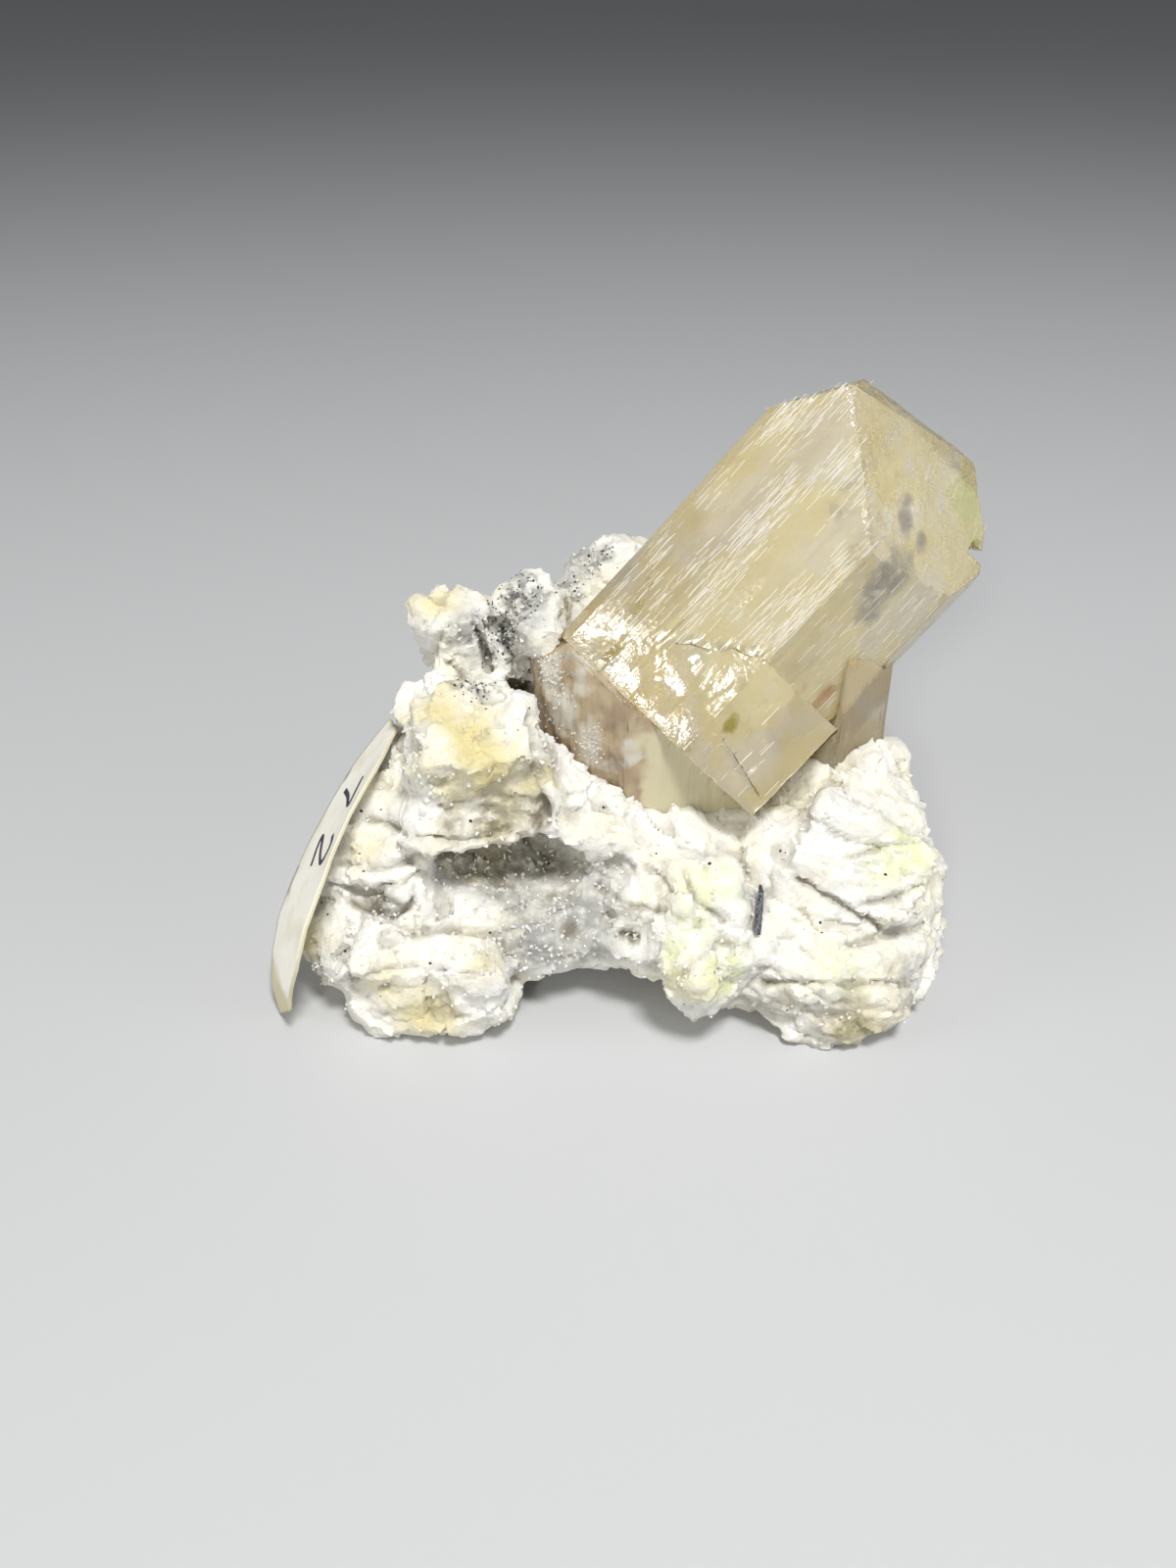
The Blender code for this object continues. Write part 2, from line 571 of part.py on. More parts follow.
def label_seat():
    """What the rock is trimmed to: flat behind the label, falling away behind its rear edge."""
    outwards, rearwards = Vector(SEAT_OUTWARDS), Vector(SEAT_REARWARDS)
    frames = label_frames(SEAT_ROWS)
    first, last = frames[0], frames[-1]
    above = first[0] + (first[0] - frames[1][0]) * SEAT_ABOVE
    below = last[0] + Vector(SEAT_BELOW)
    frames = [(above, *first[1:]), *frames, (below, *last[1:])]
    bm = bmesh.new()
    rings = []
    for spot, across, normal, _ in frames:
        base = spot - normal * LABEL_GAP
        inner = (base + across * SEAT_FRONT, base, base + rearwards)
        ring = [*inner, *(point + outwards for point in reversed(inner))]
        rings.append([bm.verts.new(point * MM) for point in ring])
    for ring, following in zip(rings, rings[1:]):
        for j in range(6):
            bm.faces.new((ring[j], ring[(j + 1) % 6], following[(j + 1) % 6], following[j]))
    for ring in (rings[0], rings[-1]):
        bm.faces.new(ring)
    bmesh.ops.triangulate(bm, faces=bm.faces)
    return helper(new_object("label_seat", mesh_from_bmesh("label_seat", bm)))


def build_rock(cutters):
    """The feldspar lump, with a socket for each crystal and flat places on its feet."""
    bm = bmesh.new()
    for seed, (centre, half_sizes, turn_deg, corners) in enumerate(LUMPS.values()):
        boulder(bm, centre, half_sizes, turn_deg, corners, LUMP_SEED + seed)
    for seed, (centre, half_sizes, turns_deg) in enumerate(BLOCKS.values()):
        block(bm, centre, half_sizes, turns_deg, BLOCK_SEED + seed)
    chunks = helper(new_object("chunks", mesh_from_bmesh("chunks", bm)))
    voxel(chunks, ROCK_VOXEL)
    skin = helper(new_object("skin", evaluated_mesh(chunks, "skin")))
    for name, (centre, half_sizes, turn_deg) in HOLLOWS.items():
        cut(skin, hollow(name, centre, half_sizes, turn_deg), name)
    voxel(skin, ROCK_VOXEL)
    rough = evaluated_mesh(skin, "rough")
    roughen(rough)
    rock = new_object("matrix", rough)
    thin = rock.modifiers.new("Facets", "DECIMATE")
    thin.ratio = ROCK_TRIANGLES / (2.0 * len(rough.polygons))
    cut(rock, block_cutter("ground", (-60, -60, -30), (60, 60, 0)), "Feet")
    for cutter in cutters:
        cut(rock, cutter, cutter.name)
    rock.data.materials.clear()
    rock.data.materials.append(material("feldspar", (0.86, 0.84, 0.76), 0.7))
    return rock


def stand_on_origin():
    """Moves everything so that the bounding box rests on the origin with its bottom centre."""
    corners = []
    for obj in bpy.data.objects:
        if not obj.hide_render:
            corners += [vertex.co.copy() for vertex in evaluated_mesh(obj, "measure").vertices]
    low = Vector(min(point[axis] for point in corners) for axis in range(3))
    high = Vector(max(point[axis] for point in corners) for axis in range(3))
    shift = Vector(((low.x + high.x) / -2, (low.y + high.y) / -2, -low.z))
    for obj in bpy.data.objects:
        obj.location += shift


def main():
    """Builds every piece and stands the specimen on the origin."""
    for obj in list(bpy.data.objects):
        bpy.data.objects.remove(obj)
    sockets = build_main_crystal()
    lid = half_space("main_base", Vector(MAIN_CORNER) - Vector(MAIN_AXIS) * CONTACT_GAP, MAIN_AXIS)
    left = build_upright_crystal("topaz_left", **LEFT_CRYSTAL, above=[lid])
    right = build_upright_crystal("topaz_right", **RIGHT_CRYSTAL, above=sockets)
    build_label()
    build_rock([*sockets, left, right, build_blade(), label_seat()])
    stand_on_origin()


main()
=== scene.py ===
"""Topaz crystals on a lump of white feldspar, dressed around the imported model.

The rock, the three crystals, the dark blade and the paper label each get a detailed skin in the place of
their plain solid. Sizes are in millimetres unless a name says otherwise: +X right, +Y away, +Z up.
"""

from __future__ import annotations

import logging
import math
from collections.abc import Sequence
from dataclasses import dataclass, field
from enum import Enum

import bmesh
import bpy
import numpy as np
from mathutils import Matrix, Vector
from mathutils.bvhtree import BVHTree


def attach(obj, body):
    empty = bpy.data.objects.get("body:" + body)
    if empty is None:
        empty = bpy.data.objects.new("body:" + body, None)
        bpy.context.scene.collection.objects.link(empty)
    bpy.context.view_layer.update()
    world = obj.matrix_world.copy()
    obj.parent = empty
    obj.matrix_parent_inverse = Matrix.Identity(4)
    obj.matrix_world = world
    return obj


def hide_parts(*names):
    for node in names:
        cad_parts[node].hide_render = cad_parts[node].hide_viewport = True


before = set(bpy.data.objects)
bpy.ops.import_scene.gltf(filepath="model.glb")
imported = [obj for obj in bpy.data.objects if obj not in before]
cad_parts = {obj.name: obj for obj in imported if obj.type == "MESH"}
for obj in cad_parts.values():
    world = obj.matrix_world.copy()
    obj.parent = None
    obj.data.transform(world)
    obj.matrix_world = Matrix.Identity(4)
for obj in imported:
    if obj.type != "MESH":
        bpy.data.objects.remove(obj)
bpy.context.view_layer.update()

LOG = logging.getLogger("topaz_specimen")
MM = 0.001
BODY = "root"
AIM = (2.0, 0.0, 16.0)  # what the lamps point at
FLOOR_HALF_WIDTH = 6000.0
MODEL_SHIFT = (-0.1944, -1.5785, 0.0)  # from the drawing's corner points to the model's frame


# Noise that follows a point in space


def cell_share(cells: np.ndarray, salt: int) -> np.ndarray:
    """A fixed random share for each whole-number cell.

    Args:
        cells: whole numbers, the last axis holding x, y and z.
        salt: tells independent shares of one cell apart.

    Returns:
        Shares from 0 to 1, one for each cell.
    """
    x, y, z = (cells[..., axis].astype(np.int64) for axis in range(3))
    mixed = (x * 374761393 + y * 668265263 + z * 1440662683 + salt * 974634777) & 0xFFFFFFFF
    mixed = ((mixed ^ (mixed >> 15)) * 1274126177) & 0xFFFFFFFF
    mixed = ((mixed ^ (mixed >> 13)) * 461845907) & 0xFFFFFFFF
    return ((mixed ^ (mixed >> 16)) & 0xFFFFFF) / float(0x1000000)


def soft_noise(points: np.ndarray, size: float | Sequence[float], salt: int) -> np.ndarray:
    """Smooth noise from -1 to 1 with features about this size.

    Args:
        points: places, one row each.
        size: feature size, or one size along each axis.
        salt: tells independent patterns apart.

    Returns:
        One value for each place.
    """
    scaled = points / np.asarray(size, float)
    base = np.floor(scaled)
    part = scaled - base
    ease = part * part * (3.0 - 2.0 * part)
    total = np.zeros(len(points))
    for corner in range(8):
        step = np.array([(corner >> axis) & 1 for axis in range(3)])
        weight = np.prod(np.where(step, ease, 1.0 - ease), axis=1)
        total += weight * cell_share(base + step, salt)
    return 2.0 * total - 1.0


def layered_noise(points: np.ndarray, size: float | Sequence[float], layers: int, salt: int) -> np.ndarray:
    """Several octaves of soft noise, from -1 to 1 or so.

    Args:
        points: places, one row each.
        size: size of the largest features, or one size along each axis.
        layers: how many octaves are added.
        salt: tells independent patterns apart.

    Returns:
        One value for each place.
    """
    total = np.zeros(len(points))
    for layer in range(layers):
        total += soft_noise(points, np.asarray(size) / 2.03**layer, salt + layer) / 2.0**layer
    return total


def broken_facets(points: np.ndarray, size: float, salt: int) -> np.ndarray:
    """Height of a surface broken into small tilted planes, from about -1 to 1.

    Args:
        points: places, one row each.
        size: width of one plane.
        salt: tells independent patterns apart.

    Returns:
        One height for each place.
    """
    scaled = points / size
    base = np.floor(scaled)
    nearest = np.full(len(points), np.inf)
    height = np.zeros(len(points))
    for dx in (-1, 0, 1):
        for dy in (-1, 0, 1):
            for dz in (-1, 0, 1):
                cell = base + np.array((dx, dy, dz))
                seed_point = cell + np.stack([cell_share(cell, salt + axis) for axis in range(3)], 1)
                away = scaled - seed_point
                distance = np.einsum("ij,ij->i", away, away)
                tilt = np.stack([cell_share(cell, salt + 5 + axis) for axis in range(3)], 1) - 0.5
                level = cell_share(cell, salt + 9) - 0.5
                plane = level + 1.7 * np.einsum("ij,ij->i", away, tilt)
                closer = distance < nearest
                nearest = np.where(closer, distance, nearest)
                height = np.where(closer, plane, height)
    return np.clip(height, -1.0, 1.0)


def fade(value: np.ndarray, low: float, high: float) -> np.ndarray:
    """Smooth step from 0 at low to 1 at high.

    Args:
        value: what is compared with the two limits.
        low: where the step begins; it may be above high.
        high: where the step ends.

    Returns:
        Shares from 0 to 1.
    """
    share = np.clip((value - low) / (high - low), 0.0, 1.0)
    return share * share * (3.0 - 2.0 * share)


# Meshes


def mesh_points(mesh: bpy.types.Mesh) -> np.ndarray:
    """The mesh's vertices in millimetres, one row each.

    Args:
        mesh: the mesh.

    Returns:
        The places.
    """
    flat = np.empty(len(mesh.vertices) * 3)
    mesh.vertices.foreach_get("co", flat)
    return flat.reshape(-1, 3) / MM


def set_mesh_points(mesh: bpy.types.Mesh, points: np.ndarray) -> None:
    """Writes vertex places, given in millimetres, back to the mesh."""
    mesh.vertices.foreach_set("co", (points * MM).ravel())
    mesh.update()


def mesh_normals(mesh: bpy.types.Mesh) -> np.ndarray:
    """The mesh's vertex normals, one row each.

    Args:
        mesh: the mesh.

    Returns:
        The normals, each of length 1.
    """
    flat = np.empty(len(mesh.vertices) * 3, np.float32)
    mesh.vertex_normals.foreach_get("vector", flat)
    return flat.reshape(-1, 3).astype(float)


def relaxed(mesh: bpy.types.Mesh, points: np.ndarray, rounds: int) -> np.ndarray:
    """Averages each vertex with its neighbours a few times.

    Args:
        mesh: gives the edges.
        points: one row for each vertex.
        rounds: how many times the average is taken.

    Returns:
        The smoothed rows.
    """
    ends = np.empty(len(mesh.edges) * 2, np.int64)
    mesh.edges.foreach_get("vertices", ends)
    first, second = ends.reshape(-1, 2).T
    count = np.bincount(ends, minlength=len(points)).astype(float)[:, None]
    for _ in range(rounds):
        total = np.zeros_like(points)
        np.add.at(total, first, points[second])
        np.add.at(total, second, points[first])
        points = 0.4 * points + 0.6 * total / np.maximum(count, 1.0)
    return points


def store(mesh: bpy.types.Mesh, name: str, values: np.ndarray) -> None:
    """Keeps one number for each vertex under a name that a material reads."""
    attribute = mesh.attributes.get(name) or mesh.attributes.new(name, "FLOAT", "POINT")
    attribute.data.foreach_set("value", values.astype(np.float32))


def new_piece(name: str, mesh: bpy.types.Mesh) -> bpy.types.Object:
    """Links an object that holds this mesh and returns it.

    Args:
        name: the object's name.
        mesh: its mesh.

    Returns:
        The object.
    """
    piece = bpy.data.objects.new(name, mesh)
    bpy.context.scene.collection.objects.link(piece)
    return piece


def merged_copy(node: str) -> bmesh.types.BMesh:
    """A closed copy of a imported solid, its triangles joined along their edges.

    Args:
        node: the solid's name.

    Returns:
        The copy, which the caller frees.
    """
    bm = bmesh.new()
    bm.from_mesh(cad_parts[node].data)
    bmesh.ops.remove_doubles(bm, verts=bm.verts, dist=1e-6)
    return bm


def bmesh_to_mesh(name: str, bm: bmesh.types.BMesh) -> bpy.types.Mesh:
    """Writes a bmesh to a new mesh and frees it.

    Args:
        name: the mesh's name.
        bm: what is written.

    Returns:
        The mesh.
    """
    mesh = bpy.data.meshes.new(name)
    bm.to_mesh(mesh)
    bm.free()
    return mesh


def settled(piece: bpy.types.Object, name: str) -> bpy.types.Mesh:
    """A plain mesh of the piece with its modifiers worked in; the piece is removed.

    Args:
        piece: the object to work in.
        name: the new mesh's name.

    Returns:
        The mesh.
    """
    bpy.context.view_layer.update()
    graph = bpy.context.evaluated_depsgraph_get()
    mesh = bpy.data.meshes.new_from_object(piece.evaluated_get(graph))
    mesh.name = name
    bpy.data.objects.remove(piece)
    return mesh


def tree_of(points: np.ndarray, mesh: bpy.types.Mesh) -> BVHTree:
    """A search tree of the mesh, in millimetres."""
    return BVHTree.FromPolygons(points.tolist(), [tuple(face.vertices) for face in mesh.polygons])


def meet(points: np.ndarray, trees: Sequence[BVHTree], reach: float, stop: float) -> np.ndarray:
    """Pulls places up to surfaces that they nearly touch.

    Args:
        points: the places.
        trees: the surfaces.
        reach: how far away a place still moves.
        stop: space that is left.

    Returns:
        The moved places.
    """
    moved = points.copy()
    for index, point in enumerate(points.tolist()):
        for tree in trees:
            place, normal, _, distance = tree.find_nearest(point, reach)
            if place is None:
                continue
            outside = (Vector(point) - place).dot(normal) > 0
            share = 1.0 if not outside else 1.0 - max(0.0, distance / reach - 0.6) / 0.4
            moved[index] = np.array(Vector(point).lerp(place + normal * stop, share))
    return moved


def smooth_with_sharp(mesh: bpy.types.Mesh, degrees: float) -> None:
    """Shades a mesh smooth except over edges sharper than this."""
    mesh.shade_smooth()
    mesh.set_sharp_from_angle(angle=math.radians(degrees))


def finished(
    mesh: bpy.types.Mesh, degrees: float, finish: bpy.types.Material, slot: str, node: str
) -> bpy.types.Object:
    """Shades a skin, gives it its one material and dresses it as its solid.

    Args:
        mesh: the skin; the piece takes its name.
        degrees: edges sharper than this stay sharp.
        finish: its material.
        slot: its finish slot.
        node: the solid that it stands for.

    Returns:
        The finished piece.
    """
    smooth_with_sharp(mesh, degrees)
    mesh.materials.clear()
    mesh.materials.append(finish)
    return dress(new_piece(mesh.name, mesh), slot, node)


def dress(piece: bpy.types.Object, slot: str, *nodes: str) -> bpy.types.Object:
    """Ties a finished piece to the specimen's body and hides the solids that it stands for.

    Args:
        piece: the piece.
        slot: not used.
        nodes: solids that it stands for, if any.

    Returns:
        The same piece.
    """
    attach(piece, BODY)
    if nodes:
        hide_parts(*nodes)
    return piece


# The photograph's view


@dataclass(frozen=True)
class PhotoView:
    """The photograph's camera.

    Attributes:
        eye: where it stands.
        pitch_deg: how far it looks down.
        focal_px: its focal length in picture points.
        frame_px: the picture's width and height.
    """

    eye: tuple[float, float, float] = (-3.494, -81.379, 69.0)
    pitch_deg: float = 35.0
    focal_px: float = 1250.0
    frame_px: tuple[int, int] = (1200, 1600)

    def ray(self, pixel: tuple[float, float]) -> Vector:
        """The direction from the eye through a picture point.

        Args:
            pixel: the picture point.

        Returns:
            The direction, of length 1.
        """
        pitch = math.radians(self.pitch_deg)
        across = (pixel[0] - self.frame_px[0] / 2) / self.focal_px
        up = (self.frame_px[1] / 2 - pixel[1]) / self.focal_px
        forward = Vector((0.0, math.cos(pitch), -math.sin(pitch)))
        upward = Vector((0.0, math.sin(pitch), math.cos(pitch)))
        return (forward + Vector((across, 0.0, 0.0)) + upward * up).normalized()

    def seen(self, tree: BVHTree, pixel: tuple[float, float]) -> Vector | None:
        """The first place on a surface that a picture point shows."""
        return tree.ray_cast(Vector(self.eye), self.ray(pixel))[0]

    def make_camera(self) -> bpy.types.Object:
        """Adds the camera and makes it the scene's own.

        Returns:
            The camera.
        """
        data = bpy.data.cameras.new("camera")
        data.sensor_width = 36.0
        data.lens = self.focal_px / max(self.frame_px) * data.sensor_width
        data.clip_start = 0.001
        camera = bpy.data.objects.new("camera", data)
        camera.location = Vector(self.eye) * MM
        camera.rotation_euler = (math.radians(90.0 - self.pitch_deg), 0.0, 0.0)
        bpy.context.scene.collection.objects.link(camera)
        bpy.context.scene.camera = camera
        return camera


VIEW = PhotoView()


# Materials


class Board:
    """A node tree with short calls that add and link its nodes."""

    def __init__(self, tree: bpy.types.NodeTree) -> None:
        """Keeps the tree that the calls work on."""
        self.tree = tree

    def add(self, kind: str, inputs: dict | None = None, **settings: object) -> bpy.types.Node:
        """Adds a node.

        Args:
            kind: the node's type name.
            inputs: values, or output sockets to link, by input name or number.
            settings: properties of the node itself.

        Returns:
            The new node.
        """
        node = self.tree.nodes.new(kind)
        for name, value in settings.items():
            setattr(node, name, value)
        return self.fill(node, inputs or {})

    def fill(self, node: bpy.types.Node, inputs: dict) -> bpy.types.Node:
        """Sets or links a node's inputs.

        Args:
            node: the node.
            inputs: values, or output sockets to link, by input name or number; a colour needs no alpha.

        Returns:
            The same node.
        """
        for name, value in inputs.items():
            socket = node.inputs[name]
            if isinstance(value, bpy.types.NodeSocket):
                self.tree.links.new(value, socket)
            else:
                socket.default_value = (*value[:3], 1.0) if socket.type == "RGBA" else value
        return node

    def maths(self, operation: str, *values: object) -> bpy.types.NodeSocket:
        """The result of a Math node on numbers or sockets."""
        node = self.add("ShaderNodeMath", dict(enumerate(values)), operation=operation)
        return node.outputs[0]

    def tint(self, share: object, under: object, over: object) -> bpy.types.NodeSocket:
        """Lays one colour over another by a share."""
        node = self.add("ShaderNodeMix", {0: share, 6: under, 7: over}, data_type="RGBA")
        return node.outputs[2]

    def ramp(self, share: object, low: float, high: float) -> bpy.types.NodeSocket:
        """Spreads what lies between low and high over 0 to 1."""
        node = self.add("ShaderNodeMapRange", {0: share, 1: low, 2: high}, interpolation_type="SMOOTHSTEP")
        return node.outputs[0]

    def noise(self, vector: object, scale: float, detail: float = 3.0) -> bpy.types.NodeSocket:
        """Soft noise from 0 to 1."""
        node = self.add("ShaderNodeTexNoise", {"Vector": vector, "Scale": scale, "Detail": detail})
        return node.outputs["Fac"]

    def attribute(self, name: str) -> bpy.types.NodeSocket:
        """A number kept on the mesh."""
        return self.add("ShaderNodeAttribute", attribute_name=name).outputs["Fac"]

    def place(self) -> bpy.types.NodeSocket:
        """The object's own coordinates, in metres."""
        return self.add("ShaderNodeTexCoord").outputs["Object"]


def new_group(name: str, inputs: dict[str, str], outputs: dict[str, str]) -> bpy.types.NodeTree:
    """An empty shader node group with named sockets.

    Args:
        name: the group's name.
        inputs: socket type by input name.
        outputs: socket type by output name.

    Returns:
        The group, with its two end nodes in place.
    """
    group = bpy.data.node_groups.new(name, "ShaderNodeTree")
    for label, kind in inputs.items():
        group.interface.new_socket(name=label, in_out="INPUT", socket_type=kind)
    for label, kind in outputs.items():
        group.interface.new_socket(name=label, in_out="OUTPUT", socket_type=kind)
    return group


def grain_group() -> bpy.types.NodeTree:
    """Sugary grain: a height and a sparkle mask from two sizes of crystal.

    Returns:
        The node group.
    """
    kinds = {"Vector": "NodeSocketVector", "Scale": "NodeSocketFloat"}
    group = new_group("sugary_grain", kinds, {"Height": "NodeSocketFloat", "Sparkle": "NodeSocketFloat"})
    board = Board(group)
    start = board.add("NodeGroupInput")
    coarse = board.add("ShaderNodeTexVoronoi", {"Vector": start.outputs[0], "Scale": start.outputs[1]})
    fine_scale = board.maths("MULTIPLY", start.outputs[1], 2.7)
    fine = board.add("ShaderNodeTexVoronoi", {"Vector": start.outputs[0], "Scale": fine_scale})
    cloud = board.noise(start.outputs[0], start.outputs[1], 5.0)
    height = board.maths("MULTIPLY_ADD", fine.outputs["Distance"], 0.45, coarse.outputs["Distance"])
    height = board.maths("MULTIPLY_ADD", cloud, 0.8, height)
    facing = board.add("ShaderNodeSeparateColor", {0: fine.outputs["Color"]})
    sparkle = board.ramp(facing.outputs[0], 0.72, 0.95)
    board.add("NodeGroupOutput", {"Height": height, "Sparkle": sparkle})
    return group


def speck_group() -> bpy.types.NodeTree:
    """Small scattered specks whose number follows a density.

    Returns:
        The node group.
    """
    kinds = {"Vector": "NodeSocketVector", "Scale": "NodeSocketFloat", "Density": "NodeSocketFloat"}
    group = new_group("specks", kinds, {"Mask": "NodeSocketFloat"})
    board = Board(group)
    start = board.add("NodeGroupInput")
    cells = board.add("ShaderNodeTexVoronoi", {"Vector": start.outputs[0], "Scale": start.outputs[1]})
    draw = board.add("ShaderNodeSeparateColor", {0: cells.outputs["Color"]})
    chosen = board.maths("LESS_THAN", draw.outputs[0], start.outputs[2])
    radius = board.maths("MULTIPLY_ADD", draw.outputs[1], 0.30, 0.12)
    inside = board.maths("SUBTRACT", radius, cells.outputs["Distance"])
    soft = board.ramp(inside, 0.0, 0.06)
    board.add("NodeGroupOutput", {"Mask": board.maths("MULTIPLY", soft, chosen)})
    return group


@dataclass
class Groups:
    """The node groups that more than one material places."""

    grain: bpy.types.NodeTree = field(default_factory=grain_group)
    specks: bpy.types.NodeTree = field(default_factory=speck_group)

    def grain_in(self, board: Board, scale: float) -> bpy.types.Node:
        """Places the sugary grain at a scale."""
        return board.add("ShaderNodeGroup", {"Vector": board.place(), "Scale": scale}, node_tree=self.grain)

    def specks_in(self, board: Board, scale: float, density: object) -> bpy.types.NodeSocket:
        """Places specks at a scale and density and returns their mask."""
        values = {"Vector": board.place(), "Scale": scale, "Density": density}
        return board.add("ShaderNodeGroup", values, node_tree=self.specks).outputs["Mask"]


def new_material(name: str) -> tuple[bpy.types.Material, Board, bpy.types.Node]:
    """A material, its board and its Principled shader.

    Args:
        name: the material's name.

    Returns:
        The three of them.
    """
    made = bpy.data.materials.new(name)
    made.use_nodes = True
    return made, Board(made.node_tree), made.node_tree.nodes["Principled BSDF"]


def bump(board: Board, height: object, distance: float, strength: float) -> bpy.types.NodeSocket:
    """A bumped normal from a height."""
    node = board.add("ShaderNodeBump", {"Height": height, "Distance": distance, "Strength": strength})
    return node.outputs["Normal"]


MILKY_RADIUS = (1.0, 0.85, 0.6)  # how far red, green and blue light spread in milky feldspar


class Tint(Enum):
    """What has coloured a patch of the rock, and the shade painted into its recesses."""

    OCHRE = "ochre"
    GREEN = "green"
    # greyish sugary patches, and painted shade in the cavity under the overhanging nodule
    GREY_AND_SHADE = "grey_and_shade"
    SOOT = "soot"
    # painted shade: dark brown on the shaded undersides, in the cavity under the overhanging nodule and in
    # pits
    PAINTED_SHADE = "painted_shade"


@dataclass(frozen=True)
class RockFinish:
    """Colours of the feldspar and of what stains it."""

    white: tuple[float, float, float] = (0.84, 0.83, 0.79)
    cream: tuple[float, float, float] = (0.84, 0.81, 0.68)
    ochre: tuple[float, float, float] = (0.70, 0.60, 0.25)
    green: tuple[float, float, float] = (0.70, 0.74, 0.40)
    # greyish sugary grain, also used as painted shade in the cavity under the overhanging nodule
    grey_and_shade: tuple[float, float, float] = (0.34, 0.34, 0.33)
    soot: tuple[float, float, float] = (0.035, 0.035, 0.04)
    # painted shade: dark brown for the rock's shaded undersides, pits and crevices
    painted_shade: tuple[float, float, float] = (0.17, 0.14, 0.075)
    # painted shade: tone that the deeper recesses darken towards
    hollow_shade: tuple[float, float, float] = (0.36, 0.33, 0.26)
    grain_scale: float = 1500.0

    def make(self, groups: Groups) -> bpy.types.Material:
        """Builds the rock's material from the masks kept on its mesh.

        Args:
            groups: shared node groups.

        Returns:
            The material.
        """
        made, board, shader = new_material("feldspar")
        place = board.place()
        grain = groups.grain_in(board, self.grain_scale)
        cloud = board.noise(place, 260.0, 6.0)
        mottle = board.noise(place, 1100.0, 4.0)
        colour = board.tint(board.ramp(cloud, 0.42, 0.72), self.white, self.cream)
        grey_and_shade = board.maths("MULTIPLY", board.attribute(Tint.GREY_AND_SHADE.value), board.ramp(mottle, 0.15, 0.6))
        colour = board.tint(grey_and_shade, colour, self.grey_and_shade)
        green = board.maths("MULTIPLY", board.attribute(Tint.GREEN.value), board.ramp(mottle, 0.25, 0.7))
        colour = board.tint(green, colour, self.green)
        veined = board.maths("MULTIPLY", board.attribute(Tint.OCHRE.value), board.ramp(cloud, 0.2, 0.6))
        colour = board.tint(board.maths("MULTIPLY", veined, 0.8), colour, self.ochre)
        # painted shade: the crevices and the brown shade patches darken the rock
        worn = board.maths("MULTIPLY_ADD", board.attribute("groove"), 0.6, board.attribute(Tint.PAINTED_SHADE.value))
        painted_shade = board.maths("MULTIPLY", worn, board.ramp(mottle, 0.2, 0.65))
        colour = board.tint(painted_shade, colour, self.painted_shade)
        # painted shade: recesses darken by how far they lie below their smoothed surroundings
        hollow_shade_share = board.ramp(board.attribute("relief"), 0.45, 0.15)
        colour = board.tint(board.maths("MULTIPLY", hollow_shade_share, 0.5), colour, self.hollow_shade)
        soot = board.attribute(Tint.SOOT.value)
        dusting = board.maths("MULTIPLY", soot, board.ramp(mottle, 0.38, 0.60))
        colour = board.tint(board.maths("MULTIPLY", dusting, 0.8), colour, self.soot)
        specks = groups.specks_in(board, 2600.0, board.maths("MULTIPLY_ADD", soot, 0.5, 0.012))
        colour = board.tint(specks, colour, self.soot)
        values = {
            "Base Color": colour,
            "Roughness": board.maths("MULTIPLY_ADD", grain.outputs["Sparkle"], -0.42, 0.74),
            "Subsurface Weight": 0.25,
            "Subsurface Radius": MILKY_RADIUS,
            "Subsurface Scale": 0.0009,
            "Normal": bump(board, grain.outputs["Height"], 0.00012, 0.7),
        }
        board.fill(shader, values)
        return made


class Flaw(Enum):
    """What clouds or stains a patch of a crystal."""

    OLIVE = "olive"
    RUST = "rust"
    SMOKE = "smoke"
    LIME = "lime"
    MILK = "milk"
    PALE = "pale"


TOPAZ_IOR = 1.62
FLAW_COLOURS = {
    Flaw.PALE: (1.0, 0.93, 0.64),
    Flaw.MILK: (0.99, 0.95, 0.84),
    Flaw.SMOKE: (0.46, 0.46, 0.46),
    Flaw.LIME: (0.84, 0.86, 0.45),
    Flaw.RUST: (0.66, 0.40, 0.20),
    Flaw.OLIVE: (0.50, 0.45, 0.12),
}


